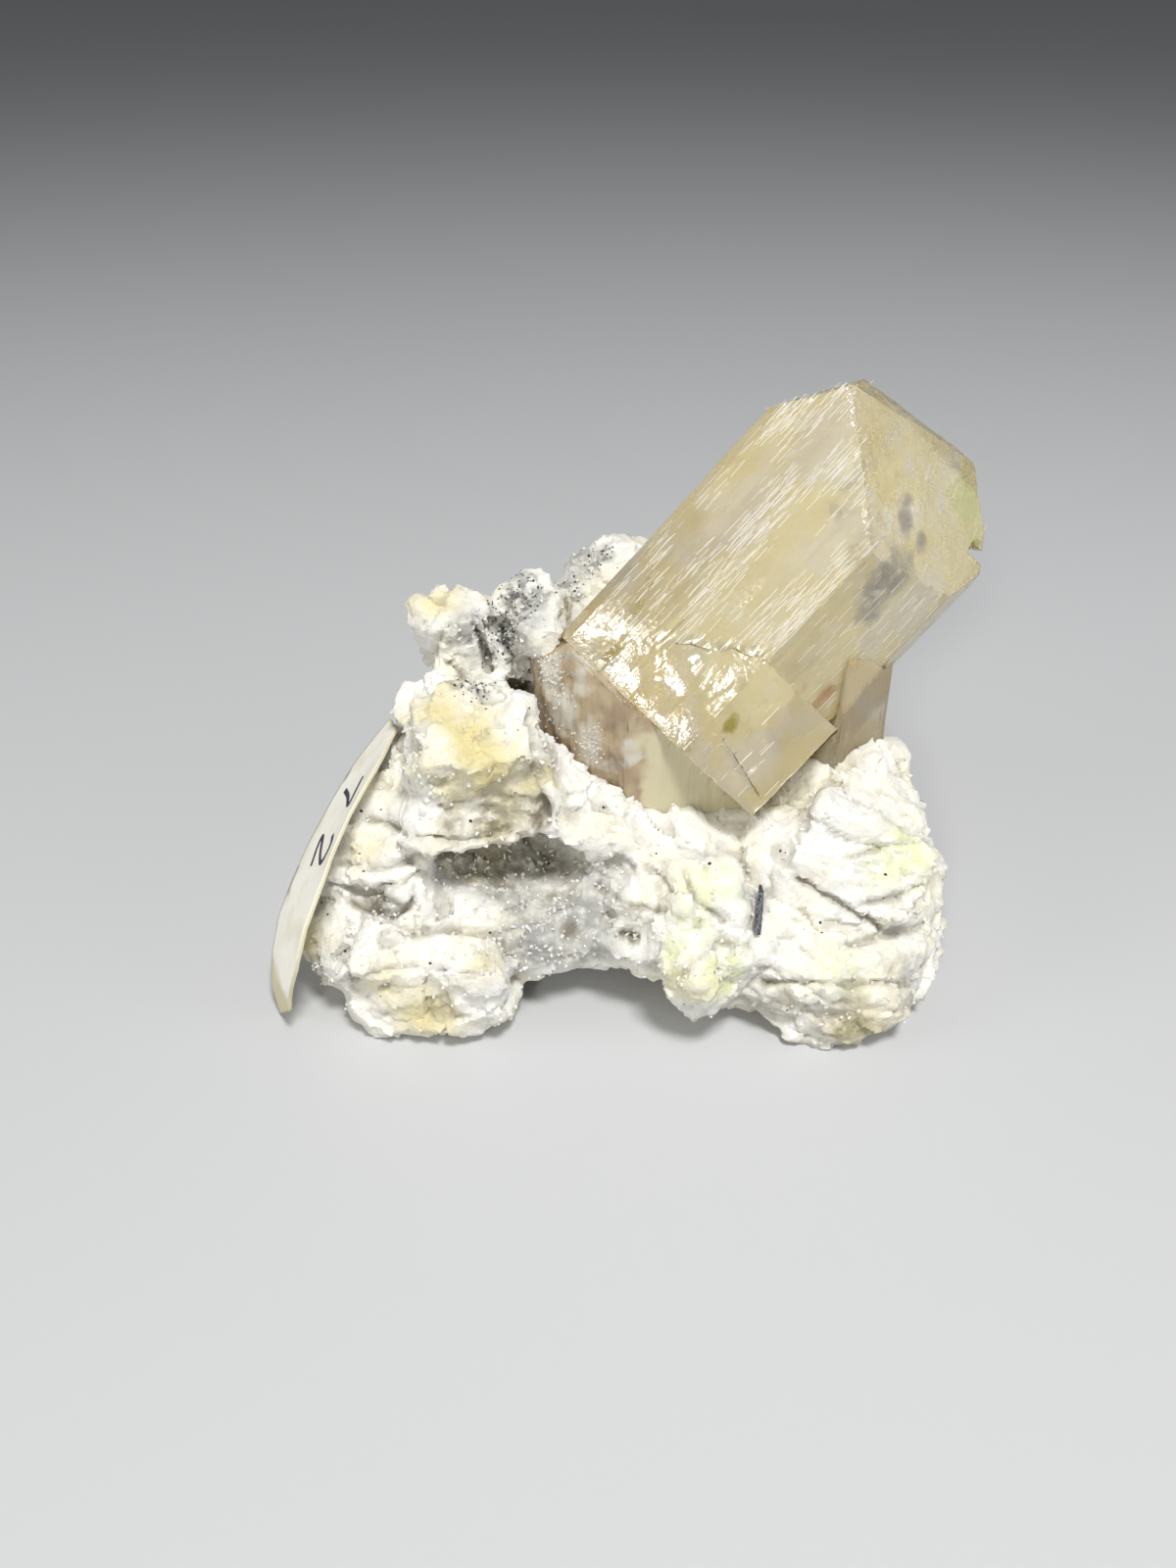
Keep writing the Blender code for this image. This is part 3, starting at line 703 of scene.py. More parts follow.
@dataclass(frozen=True)
class TopazFinish:
    """How one crystal is coloured and how clear it is.

    Attributes:
        name: the material's name.
        surface: colour that its surface lends to what passes.
        cloud: colour of its cloudier patches.
        inside: colour that the stone keeps over a long path.
        density: how fast it takes on that colour, for each metre.
        clear: share of light that goes through and isn't scattered at the surface.
        smooth: roughness of its cleanest faces.
        etched: roughness of its etched faces.
    """

    name: str
    surface: tuple[float, float, float]
    cloud: tuple[float, float, float]
    inside: tuple[float, float, float]
    density: float
    clear: float
    smooth: float = 0.06
    etched: float = 0.40

    def tinted(self, board: Board) -> bpy.types.NodeSocket:
        """Lays the clouds and the stains over the surface colour.

        Args:
            board: the material's nodes.

        Returns:
            The colour.
        """
        place = board.place()
        cloud = board.ramp(board.noise(place, 380.0, 6.0), 0.38, 0.68)
        colour = board.tint(cloud, self.surface, self.cloud)
        ragged = board.noise(place, 950.0, 8.0)
        for flaw, tone in FLAW_COLOURS.items():
            worn = board.maths("MULTIPLY_ADD", board.attribute(flaw.value), 1.5, ragged)
            colour = board.tint(board.ramp(worn, 0.95, 1.6), colour, tone)
        return colour

    def lines(self, board: Board) -> bpy.types.NodeSocket:
        """Fine growth lines along the crystal, as a height.

        Args:
            board: the material's nodes.

        Returns:
            The height.
        """
        own = board.add("ShaderNodeAttribute", attribute_name="own").outputs["Vector"]
        total = None
        for across, along, share in ((2.4, 0.14, 1.0), (6.0, 0.35, 0.5)):
            scales = {0: own, 1: (across, across, along)}
            turned = board.add("ShaderNodeVectorMath", scales, operation="MULTIPLY")
            layer = board.noise(turned.outputs[0], 1.0, 3.0)
            total = board.maths("MULTIPLY_ADD", layer, share, total if total else 0.0)
        return total

    def make(self, groups: Groups) -> bpy.types.Material:
        """Builds the crystal's material.

        Args:
            groups: shared node groups.

        Returns:
            The material.
        """
        made, board, shader = new_material(self.name)
        etch = board.attribute("etch")
        patchy = board.maths("MULTIPLY", etch, board.ramp(board.noise(board.place(), 900.0, 5.0), 0.3, 0.6))
        pits = groups.grain_in(board, 2400.0)
        pitted = board.maths("MULTIPLY", pits.outputs["Height"], board.maths("MULTIPLY", etch, 0.6))
        lined = board.maths("MULTIPLY", self.lines(board), board.attribute("lined"))
        height = board.maths("ADD", pitted, lined)
        values = {
            "Base Color": self.tinted(board),
            "Roughness": board.maths("MULTIPLY_ADD", patchy, self.etched - self.smooth, self.smooth),
            "Metallic": 0.0,
            "IOR": TOPAZ_IOR,
            "Transmission Weight": self.clear,
            "Normal": bump(board, height, 0.00007, 0.8),
        }
        board.fill(shader, values)
        volume = board.add("ShaderNodeVolumeAbsorption", {"Color": self.inside, "Density": self.density})
        board.fill(made.node_tree.nodes["Material Output"], {"Volume": volume.outputs[0]})
        return made


@dataclass(frozen=True)
class VeilFinish:
    """A thin flaw in or on a crystal, partly see-through, or a pale glossy sliver of painted highlight.

    Attributes:
        name: the material's name.
        colour: its colour.
        cover: share of light that it stops where it is densest.
        roughness: how dull it is.
        patchy: whether it breaks up into patches and thins out to its rim.
    """

    name: str
    colour: tuple[float, float, float]
    cover: float
    roughness: float = 0.35
    patchy: bool = True

    def make(self) -> bpy.types.Material:
        """Builds the flaw's material.

        Returns:
            The material.
        """
        made, board, shader = new_material(self.name)
        place = board.place()
        shade = board.tint(board.noise(place, 1800.0), self.colour, (0.9, 0.86, 0.8))
        cover: object = self.cover
        if self.patchy:
            patches = board.ramp(board.noise(place, 700.0, 7.0), 0.40, 0.66)
            cover = board.maths("MULTIPLY", patches, board.maths("MULTIPLY", board.attribute("cover"), cover))
        board.fill(shader, {"Base Color": shade, "Roughness": self.roughness, "Alpha": cover})
        return made


@dataclass(frozen=True)
class PaperFinish:
    """Slightly yellowed label paper, darker at its worn rims and, as painted shade and dirt, at its lower
    end.
    """

    sheet: tuple[float, float, float] = (0.97, 0.95, 0.86)
    # tone of the worn rims, and the painted shade and dirt on the label's lower end
    aged: tuple[float, float, float] = (0.62, 0.56, 0.33)

    def make(self) -> bpy.types.Material:
        """Builds the paper's material.

        Returns:
            The material.
        """
        made, board, shader = new_material("label_paper")
        place = board.place()
        fibres = board.add(
            "ShaderNodeTexNoise",
            {"Vector": place, "Scale": 5200.0, "Detail": 6.0, "Distortion": 1.4},
        )
        worn = board.ramp(board.noise(place, 300.0, 5.0), 0.45, 0.75)
        # The aged tone covers the worn rims and the painted shade and dirt on the lower end.
        edge = board.maths("MAXIMUM", board.maths("MULTIPLY", worn, 0.5), board.attribute("edge"))
        colour = board.tint(board.maths("MULTIPLY", edge, 0.8), self.sheet, self.aged)
        rough = board.maths("MULTIPLY_ADD", fibres.outputs["Fac"], 0.15, 0.72)
        normal = bump(board, fibres.outputs["Fac"], 0.00003, 0.6)
        board.fill(shader, {"Base Color": colour, "Roughness": rough, "Normal": normal})
        return made


@dataclass(frozen=True)
class PlainMineralFinish:
    """A small opaque mineral with fine lines along it."""

    name: str
    dark: tuple[float, float, float]
    light: tuple[float, float, float]
    roughness: float

    def make(self) -> bpy.types.Material:
        """Builds the mineral's material.

        Returns:
            The material.
        """
        made, board, shader = new_material(self.name)
        drawn_out = board.add("ShaderNodeMapping", {"Vector": board.place(), "Scale": (6.0, 6.0, 0.7)})
        streaks = board.noise(drawn_out.outputs[0], 900.0, 4.0)
        colour = board.tint(board.ramp(streaks, 0.35, 0.7), self.dark, self.light)
        rough = board.maths("MULTIPLY_ADD", streaks, 0.25, self.roughness - 0.1)
        normal = bump(board, streaks, 0.00003, 0.5)
        board.fill(shader, {"Base Color": colour, "Roughness": rough, "Normal": normal})
        return made


# The rock


@dataclass(frozen=True)
class Stain:
    """A stained patch, by the picture point at its middle."""

    tint: Tint | Flaw
    pixel: tuple[int, int]
    radius: float
    strength: float


def stains(tint: Tint | Flaw, *spots: tuple[int, int, float, float]) -> tuple[Stain, ...]:
    """Several stains of one kind.

    Args:
        tint: what stains the patches.
        spots: each patch's picture point, radius and strength.

    Returns:
        The stains.
    """
    return tuple(Stain(tint, (u, v), radius, strength) for u, v, radius, strength in spots)


def stain_masks(
    mesh: bpy.types.Mesh, points: np.ndarray, stains: Sequence[Stain], stretch: np.ndarray | None = None
) -> dict[Tint | Flaw, np.ndarray]:
    """Spreads each stain over the surface around the place that its picture point shows.

    Args:
        mesh: the stained mesh.
        points: its vertices.
        stains: the stains.
        stretch: rows of a matrix that distances are measured through, or none.

    Returns:
        A mask for each kind of stain that occurs.
    """
    tree = tree_of(points, mesh)
    ragged = 1.0 + 0.45 * layered_noise(points, 2.2, 3, 71)
    masks: dict[Tint | Flaw, np.ndarray] = {}
    for stain in stains:
        middle = VIEW.seen(tree, stain.pixel)
        if middle is None:
            LOG.warning("stain at %s misses its surface", stain.pixel)
            continue
        offset = points - np.array(middle)
        if stretch is not None:
            offset = offset @ stretch.T
        distance = np.linalg.norm(offset, axis=1) * ragged
        mask = stain.strength * fade(distance, 1.15 * stain.radius, 0.1 * stain.radius)
        masks[stain.tint] = np.maximum(masks.get(stain.tint, 0.0), mask)
    return masks


ROCK_STAINS = (
    *stains(
        Tint.OCHRE,
        (480, 760, 5.6, 1.0), (500, 790, 4.0, 1.0), (450, 730, 3.4, 1.0), (520, 830, 3.4, 0.9),
        (490, 868, 3.0, 0.8), (545, 800, 2.6, 0.9), (430, 1034, 3.6, 0.8), (395, 1010, 2.8, 0.5),
        (500, 985, 2.0, 0.7), (310, 960, 2.8, 0.7), (372, 860, 2.6, 0.6), (440, 612, 2.4, 0.8),
        (410, 728, 2.2, 0.7), (870, 1050, 4.5, 0.7), (700, 1010, 3.0, 0.45), (945, 905, 2.6, 0.6),
    ),
    *stains(
        Tint.GREEN,
        (720, 905, 2.8, 0.8), (930, 860, 3.4, 0.9), (900, 885, 2.4, 0.7), (735, 990, 3.6, 0.9),
        (690, 975, 2.8, 0.8), (710, 940, 2.4, 0.7), (860, 995, 3.0, 0.6),
    ),
    # Greyish sugary patches, and painted shade in the cavity under the overhanging nodule
    *stains(
        Tint.GREY_AND_SHADE,
        (590, 930, 5.2, 1.0), (545, 950, 4.6, 1.0), (520, 890, 5.0, 1.0), (460, 885, 3.2, 1.0),
        (505, 872, 3.4, 1.0), (560, 880, 3.4, 1.0), (385, 917, 1.6, 0.9), (325, 990, 2.4, 0.8),
        (590, 577, 3.0, 0.9), (560, 770, 2.2, 0.8), (480, 640, 2.0, 0.9), (535, 630, 3.0, 0.8),
        (768, 920, 1.4, 0.9),
    ),
    # Painted shade: dark brown under the overhanging nodule, in the cavity below it, in pits and under both
    # feet
    *stains(
        Tint.PAINTED_SHADE,
        (515, 833, 3.0, 0.75), (545, 822, 2.0, 0.7), (480, 880, 2.6, 0.8), (520, 880, 3.0, 0.9),
        (560, 885, 2.4, 0.8), (565, 912, 2.2, 0.6), (500, 832, 2.0, 1.0), (545, 842, 1.8, 1.0),
        (460, 838, 1.4, 0.7), (582, 950, 1.6, 0.7), (530, 790, 1.8, 0.4), (385, 916, 1.4, 0.8),
        (530, 700, 1.5, 0.9), (860, 1045, 4.0, 0.7), (930, 1015, 3.0, 0.55), (790, 1030, 2.6, 0.6),
        (430, 1060, 2.4, 0.5), (640, 955, 1.0, 0.8),
    ),
    *stains(
        Tint.SOOT,
        (530, 615, 2.4, 1.0), (512, 645, 2.0, 1.0), (488, 700, 1.9, 0.9), (500, 665, 1.6, 0.8),
        (575, 600, 1.8, 0.6), (610, 570, 1.8, 0.5), (545, 700, 1.8, 0.7),
    ),
)


@dataclass(frozen=True)
class Groove:
    """A crevice in the rock, along a line in the picture.

    Attributes:
        path: picture points that it runs through.
        width: how far it reaches to either side.
        depth: how far it goes in at its middle.
    """

    path: tuple[tuple[int, int], ...]
    width: float
    depth: float

    def cut(self, tree: BVHTree, points: np.ndarray) -> np.ndarray:
        """How far the crevice goes in at each place.

        Args:
            tree: the rock's surface.
            points: its vertices.

        Returns:
            One depth for each vertex.
        """
        spots = []
        for (u0, v0), (u1, v1) in zip(self.path, self.path[1:], strict=False):
            steps = max(2, round(math.hypot(u1 - u0, v1 - v0) / 3.0))
            for step in range(steps + 1):
                share = step / steps
                seen = VIEW.seen(tree, (u0 + (u1 - u0) * share, v0 + (v1 - v0) * share))
                if seen is not None:
                    spots.append(seen)
        centre = np.array(spots).mean(axis=0)
        reach = np.linalg.norm(np.array(spots) - centre, axis=1).max() + 1.5 * self.width
        near = np.flatnonzero(np.linalg.norm(points - centre, axis=1) < reach)
        away = np.linalg.norm(points[near, None] - np.array(spots)[None], axis=2).min(axis=1)
        away *= 1.0 + 0.35 * layered_noise(points[near], 1.1, 2, 87)
        depth = np.zeros(len(points))
        depth[near] = self.depth * fade(away, self.width, 0.1 * self.width)
        return depth


GROOVES = (
    Groove(((545, 735), (551, 770), (552, 800), (556, 836)), 0.9, 1.3),
    Groove(((370, 832), (430, 856), (478, 859), (520, 846), (562, 874)), 0.6, 0.6),
    Groove(((358, 920), (400, 935), (424, 920)), 0.55, 1.0),
    Groove(((334, 902), (376, 911), (424, 896)), 0.5, 0.6),
    Groove(((345, 880), (390, 886), (430, 872)), 0.45, 0.45),
    Groove(((424, 956), (460, 947), (508, 953), (516, 976)), 0.55, 0.6),
    Groove(((350, 1000), (420, 985), (480, 992)), 0.4, 0.4),
    Groove(((811, 899), (860, 925), (903, 951)), 0.4, 0.8),
    Groove(((487, 640), (493, 660), (500, 682)), 0.6, 0.9),
    Groove(((458, 636), (440, 668), (420, 690)), 0.5, 0.5),
    Groove(((522, 699), (536, 703)), 0.9, 1.4),
    Groove(((636, 953), (645, 957)), 0.6, 1.0),
    Groove(((864, 876), (936, 856)), 0.4, 0.4),
    Groove(((880, 925), (944, 908)), 0.45, 0.5),
    Groove(((860, 965), (936, 948), (958, 932)), 0.5, 0.5),
    Groove(((780, 1002), (850, 1004), (928, 1004)), 0.5, 0.55),
    Groove(((700, 885), (712, 915), (740, 940)), 0.45, 0.5),
    Groove(((690, 1000), (735, 960), (765, 965)), 0.4, 0.4),
    Groove(((610, 905), (640, 925), (680, 930)), 0.5, 0.5),
)


@dataclass
class FeldsparLump:
    """The rock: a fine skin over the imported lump, broken into facets, ledges and sugary grain.

    Attributes:
        voxel: spacing of the skin's points.
        reach: how far the skin grows to meet a crystal or the label.
        finish: its colours.
    """

    voxel: float = 0.31
    reach: float = 0.75
    finish: RockFinish = field(default_factory=RockFinish)

    def skin(self) -> bpy.types.Mesh:
        """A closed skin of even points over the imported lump.

        Returns:
            The mesh.
        """
        holder = new_piece("lump_holder", bmesh_to_mesh("lump_holder", merged_copy("matrix")))
        remesh = holder.modifiers.new("Even skin", "REMESH")
        remesh.mode = "VOXEL"
        remesh.voxel_size = self.voxel * MM
        return settled(holder, "feldspar_lump")

    def break_up(self, mesh: bpy.types.Mesh) -> np.ndarray:
        """Works the broken relief into the skin.

        Args:
            mesh: the even skin.

        Returns:
            The new vertex places.
        """
        points = relaxed(mesh, mesh_points(mesh), 4)
        set_mesh_points(mesh, points)
        normals = relaxed(mesh, mesh_normals(mesh), 4)
        normals /= np.linalg.norm(normals, axis=1, keepdims=True)
        warped = points + 0.7 * np.stack([soft_noise(points, 2.6, 40 + axis) for axis in range(3)], 1)
        height = 0.55 * broken_facets(warped, 3.1, 11)
        height += 0.26 * broken_facets(warped, 1.45, 23)
        height += 0.10 * broken_facets(points, 0.8, 37)
        height += 0.05 * layered_noise(points, 0.8, 2, 51)
        right = fade(points[:, 0], 4.0, 9.0)
        rise = (points @ np.array((0.30, 0.16, 0.94))) / 2.1 + 0.35 * soft_noise(points, 5.0, 61)
        ledge = (rise % 1.0) - 0.5
        height = (1.0 - 0.25 * right) * height + right * 0.3 * ledge
        tree = tree_of(points, mesh)
        cuts = sum(groove.cut(tree, points) for groove in GROOVES)
        # painted shade: the rock's material darkens the crevices by this depth
        store(mesh, "groove", np.clip(cuts, 0.0, 1.0))
        return points + normals * (height - cuts)[:, None]

    def paint(self, mesh: bpy.types.Mesh, points: np.ndarray) -> None:
        """Keeps the stain masks, the painted shade masks and the relief that darkens the recesses as painted
        shade on the mesh.

        Args:
            mesh: the finished skin.
            points: its vertices.
        """
        masks = stain_masks(mesh, points, ROCK_STAINS)
        # Painted shade: faces that look down, low on the rock, take ochre, and at the right the brown painted
        # shade as well.
        under = fade(mesh_normals(mesh)[:, 2], 0.1, -0.6) * fade(points[:, 2], 7.0, 1.0)
        masks[Tint.OCHRE] = np.maximum(masks[Tint.OCHRE], 0.45 * under)
        behind = fade(points[:, 1], 6.0, 14.0) * fade(layered_noise(points, 6.0, 3, 77), 0.0, 0.5)
        masks[Tint.OCHRE] = np.maximum(masks[Tint.OCHRE], 0.6 * behind)
        masks[Tint.PAINTED_SHADE] = np.maximum(masks[Tint.PAINTED_SHADE], 0.5 * under * fade(points[:, 0], 0.0, 6.0))
        off_floor = fade(points[:, 2], 0.5, 1.0)
        masks[Tint.SOOT] = masks[Tint.SOOT] * off_floor
        for tint, mask in masks.items():
            store(mesh, tint.value, mask)
        # Painted shade: the relief measures how far each place lies below its smoothed neighbourhood, and the
        # material darkens the lower places.
        flat = relaxed(mesh, points, 30)
        rise = np.einsum("ij,ij->i", points - flat, mesh_normals(mesh))
        store(mesh, "relief", np.clip(0.5 + rise / 0.9, 0.0, 1.0))
        left = 1.0 - 0.7 * fade(points[:, 0], 2.0, 7.0)
        patches = fade(layered_noise(points, 4.0, 2, 83), 0.1, 0.8) * left
        sugar = np.clip(0.06 + 0.9 * masks[Tint.GREY_AND_SHADE] + 0.7 * patches, 0.0, 1.0)
        store(mesh, "sugar", sugar * off_floor)

    def build(self, neighbours: Sequence[BVHTree], groups: Groups) -> bpy.types.Object:
        """Builds the dressed rock.

        Args:
            neighbours: surfaces of what sits in or on the rock.
            groups: shared node groups.

        Returns:
            The finished piece.
        """
        mesh = self.skin()
        points = self.break_up(mesh)
        points = meet(points, neighbours, self.reach, 0.03)
        points[:, 2] = np.maximum(points[:, 2], 0.0)
        set_mesh_points(mesh, points)
        self.paint(mesh, points)
        return finished(mesh, 38.0, self.finish.make(groups), "feldspar", "matrix")


# The crystals


@dataclass(frozen=True)
class CrystalFrame:
    """A crystal's own directions: X across, Y into its depth, Z along its length."""

    origin: tuple[float, float, float]
    across: tuple[float, float, float]
    axis: tuple[float, float, float]

    def matrix(self) -> np.ndarray:
        """The three directions as rows.

        Returns:
            A matrix of three rows.
        """
        along = Vector(self.axis).normalized()
        depth = along.cross(Vector(self.across)).normalized()
        return np.array((depth.cross(along), depth, along))

    def corner(self) -> np.ndarray:
        """Its origin in the model's frame."""
        return np.array(self.origin) + np.array(MODEL_SHIFT)

    def to_own(self, points: np.ndarray) -> np.ndarray:
        """Places in the crystal's own directions."""
        return (points - self.corner()) @ self.matrix().T

    def to_model(self, points: np.ndarray) -> np.ndarray:
        """Places back in the model's frame."""
        return points @ self.matrix() + self.corner()


def outer_edges(bm: bmesh.types.BMesh) -> list[bmesh.types.BMEdge]:
    """The edges between two outer faces of a crystal, away from its cracks and chips.

    Args:
        bm: the crystal.

    Returns:
        Its outer edges that are sharper than a few degrees.
    """
    bm.normal_update()
    corners = np.array([vertex.co for vertex in bm.verts])
    inner = set()
    for face in bm.faces:
        outward = np.array(face.normal)
        if (corners @ outward).max() - np.dot(face.calc_center_median(), outward) > 0.5 * MM:
            inner.update(vertex.index for vertex in face.verts)
    return [
        edge
        for edge in bm.edges
        if edge.is_convex
        and edge.calc_face_angle(0.0) > math.radians(6.0)
        and not any(vertex.index in inner for vertex in edge.verts)
    ]


@dataclass
class TopazCrystal:
    """One crystal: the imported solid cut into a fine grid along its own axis, then etched.

    Attributes:
        node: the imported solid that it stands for.
        name: the piece's name.
        slot: its finish slot.
        own: its own directions.
        finish: its colour and clearness.
        stains: what clouds or colours patches of it.
        spacing: grid steps across, into the depth and along.
        edge_radius: how far its edges are rounded.
        striae: height of the lines along its prism faces.
        end_relief: height of the relief on its ends.
    """

    node: str
    name: str
    slot: str
    own: CrystalFrame
    finish: TopazFinish
    stains: tuple[Stain, ...] = ()
    spacing: tuple[float, float, float] = (0.17, 0.25, 0.5)
    edge_radius: float = 0.11
    striae: float = 0.05
    end_relief: float = 0.08

    def sliced(self) -> bpy.types.Mesh:
        """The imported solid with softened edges, cut by planes across its own directions.

        Returns:
            The mesh.
        """
        bm = merged_copy(self.node)
        bmesh.ops.dissolve_limit(bm, angle_limit=math.radians(0.6), verts=bm.verts, edges=bm.edges)
        bmesh.ops.bevel(
            bm,
            geom=outer_edges(bm),
            offset=self.edge_radius * MM,
            segments=2,
            profile=0.5,
            affect="EDGES",
            clamp_overlap=True,
        )
        corners = np.array([vertex.co for vertex in bm.verts]) / MM
        own = self.own.to_own(corners)
        rows = self.own.matrix()
        for axis in range(3):
            low, high = own[:, axis].min(), own[:, axis].max()
            count = max(2, round((high - low) / self.spacing[axis]))
            for step in range(1, count):
                place = self.own.corner() + rows[axis] * (low + (high - low) * step / count)
                bmesh.ops.bisect_plane(
                    bm,
                    geom=bm.verts[:] + bm.edges[:] + bm.faces[:],
                    plane_co=Vector(place) * MM,
                    plane_no=Vector(rows[axis]),
                    dist=1e-6,
                )
        bmesh.ops.triangulate(bm, faces=[face for face in bm.faces if len(face.verts) > 4])
        return bmesh_to_mesh(self.name, bm)

    def bent(self, own: np.ndarray) -> np.ndarray:
        """Places moved along the crystal where a crack wanders; here none are."""
        return own

    def ends(self, own: np.ndarray, normals: np.ndarray) -> np.ndarray:
        """How far each place belongs to a broken or cleaved end and not to a prism face."""
        return fade(np.abs(normals[:, 2]), 0.35, 0.75)

    def lined(self, own: np.ndarray, normals: np.ndarray) -> np.ndarray:
        """How strongly each place is lined along the crystal."""
        return 1.0 - self.ends(own, normals)

    def relief(self, own: np.ndarray, normals: np.ndarray) -> np.ndarray:
        """Height of the etched relief.

        Args:
            own: places in the crystal's own directions.
            normals: outward normals in the same directions.

        Returns:
            One height for each place.
        """
        sideways = own[:, 1] * normals[:, 0] - own[:, 0] * normals[:, 1]
        turn = np.arctan2(normals[:, 0], normals[:, 1])
        lines = np.stack([sideways, 2.0 * turn, own[:, 2]], 1)
        height = np.zeros(len(own))
        for width, length, share, salt in ((1.7, 16.0, 0.9, 3), (0.75, 9.0, 0.7, 5), (0.4, 5.0, 0.5, 7)):
            height += share * (1.0 - 2.0 * np.abs(soft_noise(lines, (width, 3.0, length), salt)))
        height *= self.striae * self.lined(own, normals)
        end = self.ends(own, normals)
        height += 0.07 * soft_noise(own, 4.5, 9) * (1.0 - end)
        rough = broken_facets(own, 1.5, 13) + 0.6 * layered_noise(own, 1.1, 3, 17)
        return height + self.end_relief * end * rough

    def paint(self, mesh: bpy.types.Mesh, points: np.ndarray, own: np.ndarray, normals: np.ndarray) -> None:
        """Keeps the masks for etching, lines, glints, clouds and stains on the mesh.

        Args:
            mesh: the finished skin.
            points: its vertices.
            own: where they were before the relief, in the crystal's own directions.
            normals: outward normals in the same directions.
        """
        patches = 0.3 * soft_noise(own, (1.2, 3.0, 6.0), 31)
        store(mesh, "etch", np.clip(0.3 + 0.7 * self.ends(own, normals) + patches, 0.0, 1.0))
        lined = self.lined(own, normals)
        store(mesh, "lined", lined)
        dense = fade(layered_noise(own, (2.6, 3.0, 6.0), 3, 33), -0.6, 0.7)
        # painted highlight: where the glint slivers lie, thickest high on the front face
        store(mesh, "glint", lined**2 * dense * (0.4 + 0.6 * fade(own[:, 2], 5.0, 12.0)))
        masks = stain_masks(mesh, points, self.stains, np.diag((1.0, 1.0, 0.55)) @ self.own.matrix())
        milk = 0.65 * fade(layered_noise(own, 3.4, 4, 35), -0.1, 0.8)
        masks[Flaw.MILK] = np.maximum(masks.get(Flaw.MILK, 0.0), milk)
        for flaw in Flaw:
            store(mesh, flaw.value, masks.get(flaw, np.zeros(len(points))))
        place = mesh.attributes.new("own", "FLOAT_VECTOR", "POINT")
        place.data.foreach_set("vector", own.astype(np.float32).ravel())

    def build(self, groups: Groups, neighbours: Sequence[BVHTree] = ()) -> bpy.types.Object:
        """Builds the dressed crystal.

        Args:
            groups: shared node groups.
            neighbours: surfaces that it grows up to.

        Returns:
            The finished piece.
        """
        mesh = self.sliced()
        points = mesh_points(mesh)
        normals = mesh_normals(mesh)
        own, own_normals = self.own.to_own(points), normals @ self.own.matrix().T
        points = self.own.to_model(self.bent(own)) + normals * self.relief(own, own_normals)[:, None]
        points = meet(points, neighbours, 0.65, 0.04)
        set_mesh_points(mesh, points)
        self.paint(mesh, points, own, own_normals)
        return finished(mesh, 30.0, self.finish.make(groups), self.slot, self.node)


CRACKS = (((6.9, 5.6), (12.1, 9.1), 5.0), ((14.2, 2.7), (19.2, 1.4), 6.0))  # mouth on the front face, depth
CRACK_HALF_WIDTH = 0.15


def above_crack(own: np.ndarray) -> np.ndarray:
    """How far each place lies beyond the slanting crack, along the large crystal."""
    return own[:, 2] - (0.9 + 0.67 * own[:, 0])


class LargeTopaz(TopazCrystal):
    """The large crystal: strongly lined front face, smoother foot below the slanting crack."""

    def relief(self, own: np.ndarray, normals: np.ndarray) -> np.ndarray:
        """Adds shallow dents to the broken foot."""
        foot = fade(above_crack(own), 0.4, -1.0) * (1.0 - self.ends(own, normals))
        return super().relief(own, normals) + 0.12 * foot * broken_facets(own, 2.6, 27)

    def bent(self, own: np.ndarray) -> np.ndarray:
        """Narrows the two cracks to fine fractures and makes the slanting one ragged.

        Args:
            own: places in the crystal's own directions.

        Returns:
            The moved places.
        """
        moved = own.copy()
        for start, end, depth in CRACKS:
            length = math.dist(start, end)
            along = (np.array(end) - np.array(start)) / length
            upward = np.array((-along[1], along[0]))
            flat = own[:, (0, 2)] - np.array(start)
            u, away = flat @ along, flat @ upward
            gap = CRACK_HALF_WIDTH * np.clip(1.0 - own[:, 1] / depth, 0.0, 1.0)
            share = fade(u, -0.3, 0.0) * fade(u, length + 0.3, length) * fade(np.abs(away), 0.9, 0.16)
            shift = -0.8 * share * np.sign(away) * np.minimum(gap, np.abs(away))
            moved[:, (0, 2)] += shift[:, None] * upward
        away = above_crack(own)
        share = fade(np.abs(away), 1.8, 0.2) * fade(own[:, 0], 5.5, 7.5) * fade(own[:, 0], 14.5, 12.5)
        moved[:, 2] += 0.55 * share * layered_noise(own * (1.0, 0.3, 0.1), 1.3, 2, 29)
        return moved

    def lined(self, own: np.ndarray, normals: np.ndarray) -> np.ndarray:
        """Strong lines on the front face above the crack, weak ones on its foot and other faces.

        Args:
            own: places in the crystal's own directions.
            normals: outward normals in the same directions.

        Returns:
            Shares from 0 to 1.
        """
        front = fade(-normals[:, 1], 0.75, 0.95) * fade(above_crack(own), -0.4, 1.2)
        return (0.25 + 0.75 * front) * (1.0 - self.ends(own, normals))


LEFT_CRUST = stains(Flaw.MILK, (560, 690, 2.2, 0.8), (575, 725, 2.2, 0.8), (600, 755, 1.8, 0.7))


